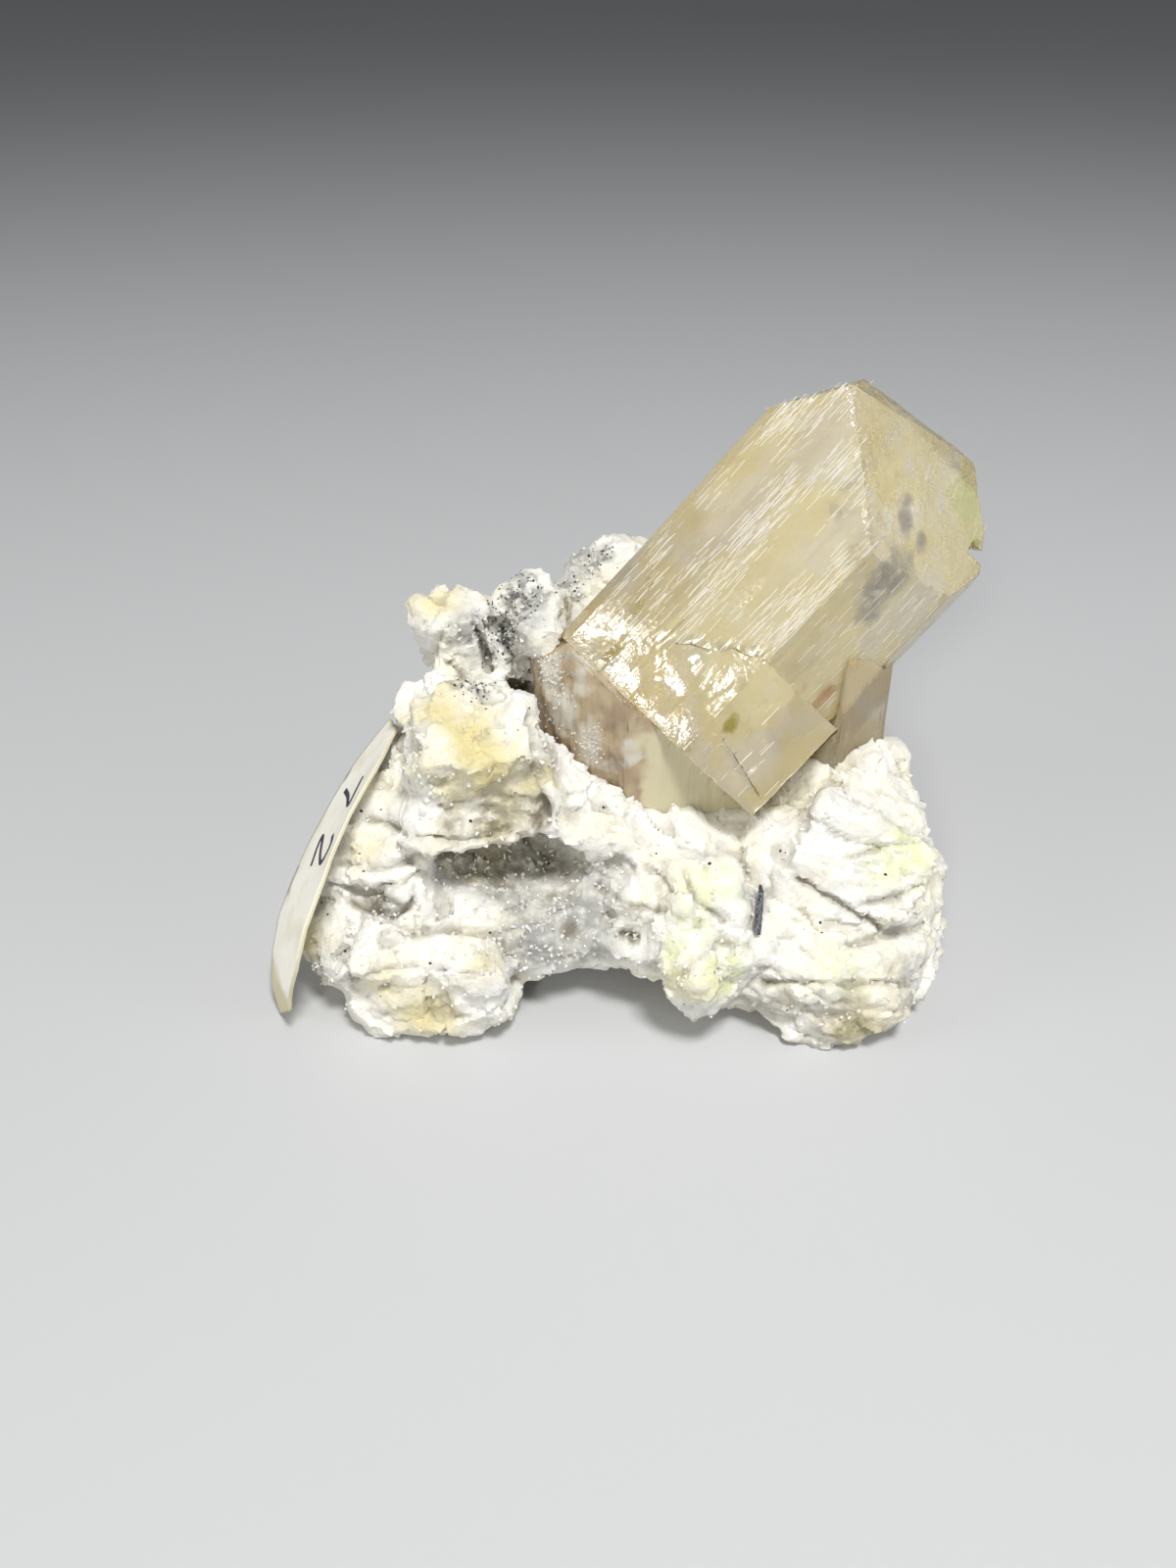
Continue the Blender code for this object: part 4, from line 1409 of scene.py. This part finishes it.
class BrownTopaz(TopazCrystal):
    """The short crystal at the left: its left face is rough and bumpy, its right one smooth."""

    def relief(self, own: np.ndarray, normals: np.ndarray) -> np.ndarray:
        """Adds lumps and pits to the left face.

        Args:
            own: places in the crystal's own directions.
            normals: outward normals in the same directions.

        Returns:
            One height for each place.
        """
        rough = broken_facets(own, 1.9, 43) + 0.6 * broken_facets(own, 0.9, 45)
        rough += 0.4 * layered_noise(own, 1.0, 2, 47)
        left = fade(-normals[:, 0], 0.1, 0.4) * fade(-normals[:, 1], 0.0, 0.4)
        return super().relief(own, normals) + 0.22 * left * rough

    def paint(self, mesh: bpy.types.Mesh, points: np.ndarray, own: np.ndarray, normals: np.ndarray) -> None:
        """Adds where the white crust of the left face lies.

        Args:
            mesh: the finished skin.
            points: its vertices.
            own: where they were before the relief, in the crystal's own directions.
            normals: outward normals in the same directions.
        """
        super().paint(mesh, points, own, normals)
        crust = stain_masks(mesh, points, LEFT_CRUST)[Flaw.MILK]
        store(mesh, "crust", crust * fade(layered_noise(points, 1.4, 3, 57), -0.5, 0.3))


class PinkTopaz(TopazCrystal):
    """The short crystal at the right, with a shell-like fracture low on its front."""

    def relief(self, own: np.ndarray, normals: np.ndarray) -> np.ndarray:
        """Adds the ripples of the fracture.

        Args:
            own: places in the crystal's own directions.
            normals: outward normals in the same directions.

        Returns:
            One height for each place.
        """
        away = np.linalg.norm(own - np.array((-4.4, -1.2, 9.0)), axis=1)
        bend = away + 0.35 * soft_noise(own, 1.6, 53)
        ripple = np.sin(bend * 2.0 * math.pi / 0.95) * fade(away, 7.5, 3.0) * fade(-normals[:, 1], 0.1, 0.5)
        return super().relief(own, normals) + 0.10 * ripple


MAIN_FRAME = CrystalFrame((-5.68, -1.65, 27.55), (0.731, -0.298, -0.614), (0.680, 0.320, 0.657))
LEFT_FRAME = CrystalFrame((-0.4, -4.8, 12.0), (1.0, 0.0, 0.0), (0.0, 0.04, 1.0))
RIGHT_FRAME = CrystalFrame((16.2, 1.4, 9.0), (1.0, 0.0, 0.0), (0.0, 0.05, 1.0))


@dataclass
class Veils:
    """Thin flaws inside the large crystal, some deep, others behind its cracks or close under its faces.

    Attributes:
        own: the crystal's directions.
        seed: fixes how they bend.
    """

    own: CrystalFrame
    seed: int = 5

    def sheet(
        self, name: str, middle: Sequence[float], across: Sequence[float], along: Sequence[float]
    ) -> bpy.types.Mesh:
        """One wavy sheet.

        Args:
            name: the mesh's name.
            middle: its centre in the crystal's own directions.
            across: from its centre to the middle of one side.
            along: from its centre to the middle of a neighbouring side.

        Returns:
            The mesh, in the model's frame.
        """
        count = 26
        spots = np.linspace(-1.0, 1.0, count)
        u, v = (grid.ravel()[:, None] for grid in np.meshgrid(spots, spots, indexing="ij"))
        own = np.array(middle) + u * np.array(across) + v * np.array(along)
        outward = np.cross(across, along)
        outward /= np.linalg.norm(outward)
        bend = 0.28 * soft_noise(own, 2.4, self.seed) + 0.1 * soft_noise(own, 0.9, self.seed + 1)
        model = self.own.to_model(own + outward * bend[:, None])
        faces = [
            (i * count + j, (i + 1) * count + j, (i + 1) * count + j + 1, i * count + j + 1)
            for i in range(count - 1)
            for j in range(count - 1)
        ]
        mesh = bpy.data.meshes.new(name)
        mesh.from_pydata((model * MM).tolist(), [], faces)
        reach = np.hypot(u, v)[:, 0] + 0.25 * soft_noise(own, 1.2, self.seed + 2)
        store(mesh, "cover", fade(reach, 1.0, 0.25))
        mesh.shade_smooth()
        return mesh

    def build(self) -> list[bpy.types.Object]:
        """Builds every flaw.

        Returns:
            The finished pieces.
        """
        milky = VeilFinish("milky_veil", (0.97, 0.93, 0.84), 0.6).make()
        smoky = VeilFinish("smoky_veil", (0.30, 0.30, 0.31), 0.5).make()
        bright = VeilFinish("bright_veil", (1.0, 0.95, 0.82), 0.6, 0.5).make()
        plan = (
            ("veil_slanting", (9.6, 6.9, 6.9), (3.0, 0.0, 2.0), (0.3, 1.7, -0.4), milky),
            ("veil_foot", (16.6, 7.4, 2.6), (2.4, 0.0, -0.6), (0.2, 1.3, 0.5), milky),
            ("veil_foot_mouth", (16.7, 3.1, 2.05), (3.0, 0.0, -0.78), (0.1, 2.9, 0.1), bright),
            ("veil_foot_fan", (17.4, 1.5, 3.4), (1.6, 0.3, -1.5), (0.9, 1.0, 1.6), bright),
            ("veil_hairline", (10.0, 0.95, 5.2), (0.3, 0.0, -1.9), (0.4, 0.6, 0.1), milky),
            ("veil_upper", (6.5, 1.4, 21.0), (3.4, 0.2, 0.0), (0.0, 0.1, 4.6), milky),
            ("veil_front", (7.5, 1.6, 13.0), (4.2, -0.2, 0.0), (0.0, 0.2, 3.6), milky),
            ("veil_low", (10.5, 5.0, 5.5), (6.96, 0.73, 0.0), (0.05, -0.50, 3.57), milky),
            ("veil_left", (4.5, 7.5, 14.0), (2.63, -0.96, 0.0), (0.21, 0.59, 8.98), milky),
            ("veil_middle", (9.5, 8.5, 17.0), (4.85, 1.21, 0.0), (0.20, -0.81, 7.96), milky),
            ("veil_deep", (12.0, 11.5, 12.0), (6.98, 0.49, 0.0), (-0.07, 0.94, 8.95), milky),
            ("veil_right", (17.0, 8.5, 15.0), (1.99, 1.67, 0.0), (0.36, -0.43, 7.98), milky),
            ("smoke_upper", (12.6, 1.5, 22.4), (2.2, 0.4, 0.4), (-0.4, 0.2, 2.6), smoky),
            ("smoke_middle", (10.2, 1.5, 20.8), (2.2, 0.2, 0.2), (0.0, -0.2, 2.0), smoky),
            ("smoke_lower", (13.9, 1.6, 18.4), (1.9, 0.5, 0.3), (-0.2, 0.1, 2.8), smoky),
        )
        made = []
        for name, middle, across, along, finish in plan:
            mesh = self.sheet(name, middle, across, along)
            mesh.materials.append(finish)
            made.append(dress(new_piece(name, mesh), "topaz_honey"))
        return made


def dark_blade() -> bpy.types.Object:
    """The dark blade of another mineral: thinner than its plain solid and lined along its length.

    Returns:
        The finished piece.
    """
    bm = merged_copy("dark_blade")
    bmesh.ops.subdivide_edges(bm, edges=bm.edges, cuts=7, use_grid_fill=True)
    mesh = bmesh_to_mesh("blade_crystal", bm)
    points = mesh_points(mesh)
    middle = points.mean(axis=0)
    rows = np.linalg.svd(points - middle, full_matrices=False)[2]
    own = (points - middle) @ rows.T
    lines = 0.06 * soft_noise(own, (6.0, 0.12, 0.3), 97)
    taper = 1.0 - 0.35 * fade(own[:, 0] * np.sign(rows[0][2]), 0.5, 3.0)
    own[:, 0] = own[:, 0] * 0.66
    own[:, 1] = own[:, 1] * 0.62 * taper
    own[:, 2] = own[:, 2] * (0.8 + lines) * taper
    set_mesh_points(mesh, own @ rows + middle)
    finish = PlainMineralFinish("dark_mineral", (0.03, 0.03, 0.035), (0.20, 0.21, 0.25), 0.3)
    return finished(mesh, 25.0, finish.make(), "dark_mineral", "dark_blade")


# The label


SEVEN = ((-0.34, 0.42), (0.00, 0.46), (0.34, 0.44), (0.10, 0.02), (-0.08, -0.48))
TWO = ((-0.32, 0.30), (-0.12, 0.48), (0.16, 0.46), (0.30, 0.26), (0.12, -0.02), (-0.32, -0.46), (0.36, -0.42))


@dataclass
class PaperLabel:
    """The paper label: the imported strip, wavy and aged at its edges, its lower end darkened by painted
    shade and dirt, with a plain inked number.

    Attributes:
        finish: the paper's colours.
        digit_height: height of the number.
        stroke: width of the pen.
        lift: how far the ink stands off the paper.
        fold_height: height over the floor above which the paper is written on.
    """

    finish: PaperFinish = field(default_factory=PaperFinish)
    digit_height: float = 3.6
    stroke: float = 0.42
    lift: float = 0.035
    fold_height: float = 6.5

    def sheet(self) -> bpy.types.Object:
        """The paper itself.

        Returns:
            The finished piece.
        """
        bm = merged_copy("paper_label")
        bmesh.ops.subdivide_edges(bm, edges=bm.edges, cuts=2, use_grid_fill=True)
        mesh = bmesh_to_mesh("paper_label_sheet", bm)
        points, normals = mesh_points(mesh), mesh_normals(mesh)
        wave = 0.07 * soft_noise(points, 3.4, 91)
        outward = np.array((-0.8, -0.1, 0.6))
        set_mesh_points(mesh, points + outward * wave[:, None])
        rim = fade(np.abs(normals @ outward), 0.85, 0.5)
        # Painted shade and dirt: the lower end of the label, which hangs in shade, darkens to the aged tone.
        low_flap_shade_and_dirt = fade(points[:, 2] + 0.5 * soft_noise(points, 1.5, 95), 4.6, 3.2)
        store(mesh, "edge", np.maximum(rim, low_flap_shade_and_dirt))
        return finished(mesh, 40.0, self.finish.make(), "label_paper", "paper_label")

    def writing(self, sheet: bpy.types.Object) -> bpy.types.Object:
        """The number, as two pen strokes laid on the paper.

        Args:
            sheet: the finished paper.

        Returns:
            The finished piece.
        """
        points = mesh_points(sheet.data)
        tree = tree_of(points, sheet.data)
        upper = points[points[:, 2] > self.fold_height]
        middle = upper.mean(axis=0)
        directions = np.linalg.svd(upper - middle, full_matrices=False)[2]
        along = directions[0] * (1.0 if directions[0][2] > 0 else -1.0)
        outward = directions[2] * (1.0 if directions[2][0] < 0 else -1.0)
        across = np.cross(outward, along)
        bm = bmesh.new()
        for place, outline in ((-2.9, SEVEN), (1.9, TWO)):
            flat = smooth_path(np.array(outline) * self.digit_height, 5)
            turned = -flat[:, ::-1]
            edge_pair = []
            heading = np.gradient(turned, axis=0)
            heading /= np.linalg.norm(heading, axis=1, keepdims=True)
            side = np.stack([-heading[:, 1], heading[:, 0]], 1) * self.stroke / 2
            for line in (turned + side, turned - side):
                verts = []
                for u, v in line:
                    start = middle + across * u + along * (v - place) + outward * 4.0
                    spot = tree.ray_cast(Vector(start), Vector(-outward))[0]
                    verts.append(bm.verts.new((spot + Vector(outward) * self.lift) * MM))
                edge_pair.append(verts)
            for i in range(len(turned) - 1):
                (a, b), (c, d) = (edge_pair[0][i : i + 2], edge_pair[1][i : i + 2])
                bm.faces.new((a, b, d, c))
        mesh = bmesh_to_mesh("label_number", bm)
        ink = PlainMineralFinish("dark_ink", (0.02, 0.02, 0.05), (0.05, 0.05, 0.10), 0.6)
        mesh.materials.append(ink.make())
        return dress(new_piece("label_number", mesh), "label_paper")

    def build(self) -> list[bpy.types.Object]:
        """Builds the label.

        Returns:
            The paper and its number.
        """
        sheet = self.sheet()
        return [sheet, self.writing(sheet)]


def smooth_path(points: np.ndarray, steps: int) -> np.ndarray:
    """A smooth path through the points, with this many steps between two of them.

    Args:
        points: the points, one row each.
        steps: how many parts each stretch is cut into.

    Returns:
        The points of the path.
    """
    ends = np.vstack([2 * points[0] - points[1], points, 2 * points[-1] - points[-2]])
    path = []
    for i in range(1, len(ends) - 2):
        a, b, c, d = ends[i - 1 : i + 3]
        for step in range(steps):
            t = step / steps
            square, cube = 2 * a - 5 * b + 4 * c - d, 3 * b - a - 3 * c + d
            path.append(0.5 * (2 * b + (c - a) * t + square * t**2 + cube * t**3))
    return np.array([*path, points[-1]])


# Small grains


@dataclass
class GrainScatter:
    """Many small crystals or specks, spread over a surface where a mask allows them.

    Attributes:
        name: the piece's name.
        slot: its finish slot.
        mask: the number on the carrying mesh that says how many sit where.
        density: how many for each square millimetre where the mask is full.
        sizes: smallest and largest length.
        slender: width and thickness as shares of the length.
        seed: fixes where they lie.
        along: direction that they all lie in on the surface, or none to let them stick out anyhow.
    """

    name: str
    slot: str
    mask: str
    density: float
    sizes: tuple[float, float]
    slender: tuple[float, float]
    seed: int
    along: tuple[float, float, float] | None = None

    def facing(self, board: Board, upright: bpy.types.NodeSocket) -> bpy.types.NodeSocket:
        """How each grain is turned.

        Args:
            board: the tree that is built.
            upright: rotation that stands a grain on its surface.

        Returns:
            The rotation for each grain.
        """
        if self.along is None:
            limits = {0: (-0.9, -0.9, 0.0), 1: (0.9, 0.9, 2.0 * math.pi)}
        else:
            limits = {0: (-0.04, math.pi / 2 - 0.03, -0.03), 1: (0.04, math.pi / 2 + 0.03, 0.03)}
            upright = board.add(
                "FunctionNodeAlignRotationToVector",
                {"Rotation": upright, "Vector": self.along},
                axis="X",
                pivot_axis="Z",
            ).outputs[0]
        limits["Seed"] = self.seed + 1
        turn = board.add("FunctionNodeRandomValue", limits, data_type="FLOAT_VECTOR")
        turned = board.add("FunctionNodeRotateRotation", {"Rotation": upright}, rotation_space="LOCAL")
        board.tree.links.new(turn.outputs[0], turned.inputs["Rotate By"])
        return turned.outputs[0]

    def tree(self, finish: bpy.types.Material) -> bpy.types.NodeTree:
        """The Geometry Nodes tree that spreads the grains.

        Args:
            finish: their material.

        Returns:
            The node tree.
        """
        tree = bpy.data.node_groups.new(self.name, "GeometryNodeTree")
        tree.interface.new_socket(name="Geometry", in_out="INPUT", socket_type="NodeSocketGeometry")
        for label in ("Density", "Smallest", "Largest"):
            tree.interface.new_socket(name=label, in_out="INPUT", socket_type="NodeSocketFloat")
        tree.interface.new_socket(name="Geometry", in_out="OUTPUT", socket_type="NodeSocketGeometry")
        board = Board(tree)
        start = board.add("NodeGroupInput")
        mask = board.add("GeometryNodeInputNamedAttribute", {"Name": self.mask}, data_type="FLOAT")
        amount = board.maths("MULTIPLY", mask.outputs["Attribute"], start.outputs["Density"])
        spread = board.add(
            "GeometryNodeDistributePointsOnFaces",
            {"Mesh": start.outputs["Geometry"], "Density": amount, "Seed": self.seed},
        )
        grain = board.add("GeometryNodeMeshCube", {"Size": (self.slender[0], self.slender[1], 1.0)})
        size = board.add("FunctionNodeRandomValue", {"Seed": self.seed + 2}, data_type="FLOAT")
        tree.links.new(start.outputs["Smallest"], size.inputs[2])
        tree.links.new(start.outputs["Largest"], size.inputs[3])
        placed = board.add(
            "GeometryNodeInstanceOnPoints",
            {
                "Points": spread.outputs["Points"],
                "Instance": grain.outputs["Mesh"],
                "Rotation": self.facing(board, spread.outputs["Rotation"]),
                "Scale": size.outputs[1],
            },
        )
        real = board.add("GeometryNodeRealizeInstances", {"Geometry": placed.outputs["Instances"]})
        coated = {"Geometry": real.outputs["Geometry"], "Material": finish}
        board.add("NodeGroupOutput", {0: board.add("GeometryNodeSetMaterial", coated).outputs["Geometry"]})
        return tree

    def build(self, carrier: bpy.types.Object, finish: bpy.types.Material) -> bpy.types.Object:
        """Spreads the grains over a piece.

        Args:
            carrier: the piece that they grow on.
            finish: their material.

        Returns:
            The finished piece.
        """
        holder = new_piece(self.name + "_holder", carrier.data.copy())
        spread = holder.modifiers.new("Grains", "NODES")
        spread.node_group = self.tree(finish)
        smallest, largest = self.sizes
        values = {"Density": self.density / MM**2, "Smallest": smallest * MM, "Largest": largest * MM}
        for item in spread.node_group.interface.items_tree:
            if item.name in values:
                spread[item.identifier] = values[item.name]
        piece = new_piece(self.name, settled(holder, self.name))
        return dress(piece, self.slot)


@dataclass(frozen=True)
class AlbiteGrainFinish:
    """Small clear to milky feldspar crystals."""

    name: str = "albite_grains"
    colour: tuple[float, float, float] = (0.92, 0.91, 0.87)
    shade: tuple[float, float, float] = (0.72, 0.70, 0.62)

    def make(self) -> bpy.types.Material:
        """Builds the grains' material.

        Returns:
            The material.
        """
        made, board, shader = new_material(self.name)
        mottle = board.ramp(board.noise(board.place(), 1600.0, 3.0), 0.35, 0.7)
        values = {
            "Base Color": board.tint(mottle, self.colour, self.shade),
            "Roughness": board.maths("MULTIPLY_ADD", mottle, 0.35, 0.15),
            "Subsurface Weight": 0.3,
            "Subsurface Radius": MILKY_RADIUS,
            "Subsurface Scale": 0.0005,
        }
        board.fill(shader, values)
        return made


# Stage and light


@dataclass(frozen=True)
class SoftLight:
    """One studio softbox aimed at the specimen.

    Attributes:
        name: the lamp's name.
        place: where it stands.
        size: its width.
        power: its output in watts.
        colour: its colour.
    """

    name: str
    place: tuple[float, float, float]
    size: float
    power: float
    colour: tuple[float, float, float] = (1.0, 1.0, 1.0)

    def build(self) -> bpy.types.Object:
        """Adds the lamp.

        Returns:
            The lamp.
        """
        data = bpy.data.lights.new(self.name, "AREA")
        data.shape = "SQUARE"
        data.size = self.size * MM
        data.energy = self.power
        data.color = self.colour
        lamp = bpy.data.objects.new(self.name, data)
        lamp.location = Vector(self.place) * MM
        aim = Vector(AIM) - Vector(self.place)
        lamp.rotation_euler = aim.to_track_quat("-Z", "Y").to_euler()
        bpy.context.scene.collection.objects.link(lamp)
        return lamp


@dataclass
class Studio:
    """A pale floor and soft light around the specimen."""

    floor_colour: tuple[float, float, float] = (0.60, 0.61, 0.63)
    sky_colour: tuple[float, float, float] = (0.86, 0.87, 0.88)
    sky_strength: float = 0.15
    lights: tuple[SoftLight, ...] = (
        SoftLight("key_softbox", (60.0, -170.0, 400.0), 80.0, 1.50, (1.0, 0.99, 0.96)),
        SoftLight("front_softbox", (-125.0, -400.0, 265.0), 60.0, 0.55, (1.0, 0.98, 0.94)),
        SoftLight("left_softbox", (-360.0, -110.0, 190.0), 200.0, 0.32, (1.0, 0.99, 0.97)),
        SoftLight("right_softbox", (360.0, -120.0, 200.0), 240.0, 0.25, (0.95, 0.98, 1.0)),
    )

    def build(self) -> None:
        """Adds the floor, the lamps and the sky light."""
        bm = bmesh.new()
        bmesh.ops.create_grid(bm, x_segments=4, y_segments=4, size=FLOOR_HALF_WIDTH * MM)
        floor = new_piece("floor", bmesh_to_mesh("floor", bm))
        made, board, shader = new_material("pale_floor")
        cloud = board.noise(board.place(), 3.0, 3.0)
        shade = tuple(0.94 * part for part in self.floor_colour)
        colour = board.tint(cloud, shade, self.floor_colour)
        board.fill(shader, {"Base Color": colour, "Roughness": 0.85})
        floor.data.materials.append(made)
        for light in self.lights:
            light.build()
        world = bpy.data.worlds.new("studio")
        world.use_nodes = True
        sky = {"Color": self.sky_colour, "Strength": self.sky_strength}
        Board(world.node_tree).fill(world.node_tree.nodes["Background"], sky)
        bpy.context.scene.world = world
        bpy.context.scene.view_settings.view_transform = "Standard"


HONEY = TopazFinish("topaz_honey", (0.99, 0.90, 0.60), (1.0, 0.96, 0.76), (0.99, 0.87, 0.44), 48.0, 0.70)
BROWN = TopazFinish(
    "topaz_brown", (0.56, 0.42, 0.27), (0.84, 0.69, 0.46), (0.97, 0.82, 0.50), 50.0, 0.38, smooth=0.12
)
PINK = TopazFinish("topaz_pink", (0.96, 0.82, 0.54), (0.98, 0.91, 0.70), (0.98, 0.82, 0.46), 70.0, 0.76)

MAIN_STAINS = (
    *stains(
        Flaw.SMOKE,
        (862, 515, 2.8, 0.45), (880, 475, 2.2, 0.4), (905, 590, 3.6, 0.65), (880, 560, 2.6, 0.5),
        (925, 530, 1.8, 0.9), (940, 550, 1.4, 0.7),
    ),
    *stains(
        Flaw.LIME,
        (985, 510, 3.2, 0.7), (995, 545, 1.8, 0.6),
    ),
    *stains(
        Flaw.RUST,
        (840, 712, 1.5, 0.8), (815, 640, 1.8, 0.4),
    ),
    *stains(
        Flaw.OLIVE,
        (650, 620, 1.3, 0.5), (655, 600, 1.1, 0.5), (622, 670, 1.2, 0.6), (700, 760, 1.4, 0.5),
        (745, 740, 1.0, 0.8), (790, 415, 1.2, 0.4),
    ),
    *stains(
        Flaw.PALE,
        (740, 720, 5.0, 0.8), (870, 660, 5.0, 0.8),
    ),
    *stains(
        Flaw.MILK,
        (765, 780, 3.2, 0.9), (850, 440, 3.8, 0.8), (760, 520, 4.0, 0.7), (930, 620, 3.8, 0.8),
    ),
)

LEFT_STAINS = (
    *LEFT_CRUST,
    *stains(Flaw.PALE, (690, 800, 5.0, 1.0), (740, 815, 4.0, 1.0), (670, 770, 2.0, 0.8)),
)


def main() -> None:
    """Builds the specimen piece by piece and reports each."""
    logging.basicConfig(level=logging.INFO, format="%(message)s")
    VIEW.make_camera()
    Studio().build()
    groups = Groups()
    large = LargeTopaz("topaz_main", "large_topaz", "topaz_honey", MAIN_FRAME, HONEY, MAIN_STAINS)
    left = BrownTopaz("topaz_left", "left_topaz", "topaz_brown", LEFT_FRAME, BROWN, LEFT_STAINS)
    right = PinkTopaz("topaz_right", "right_topaz", "topaz_pink", RIGHT_FRAME, PINK)
    large_piece = large.build(groups)
    left_piece = left.build(groups, [tree_of(mesh_points(large_piece.data), large_piece.data)])
    pieces = [large_piece, left_piece, right.build(groups)]
    surfaces = [tree_of(mesh_points(piece.data), piece.data) for piece in pieces]
    pieces += PaperLabel().build()
    rock = FeldsparLump().build(surfaces, groups)
    white = AlbiteGrainFinish().make()
    sooty = PlainMineralFinish("black_specks", (0.02, 0.02, 0.025), (0.09, 0.09, 0.10), 0.45).make()
    # Painted highlight: pale glossy slivers laid along the large crystal stand in for the glints of light off
    # its growth lines.
    glinting = VeilFinish("etched_glints", (1.0, 0.98, 0.92), 0.6, 0.15, False).make()
    length = tuple(MAIN_FRAME.matrix()[2])
    sugar = GrainScatter("albite_sugar", "feldspar", "sugar", 2.2, (0.14, 0.48), (0.55, 0.35), 5)
    specks = GrainScatter("black_specks", "dark_mineral", "soot", 9.0, (0.05, 0.17), (0.8, 0.6), 15)
    crust = GrainScatter("crust_grains", "feldspar", "crust", 26.0, (0.06, 0.24), (0.6, 0.4), 25)
    glints = GrainScatter("glints", "topaz_honey", "glint", 13.0, (0.3, 1.8), (0.016, 0.034), 35, length)
    pieces += [rock, sugar.build(rock, white), specks.build(rock, sooty)]
    pieces += [crust.build(left_piece, white), glints.build(large_piece, glinting)]
    pieces += Veils(MAIN_FRAME).build()
    pieces.append(dark_blade())
    for piece in pieces:
        LOG.info("%s: %d faces", piece.name, len(piece.data.polygons))


if __name__ == "__main__":
    main()
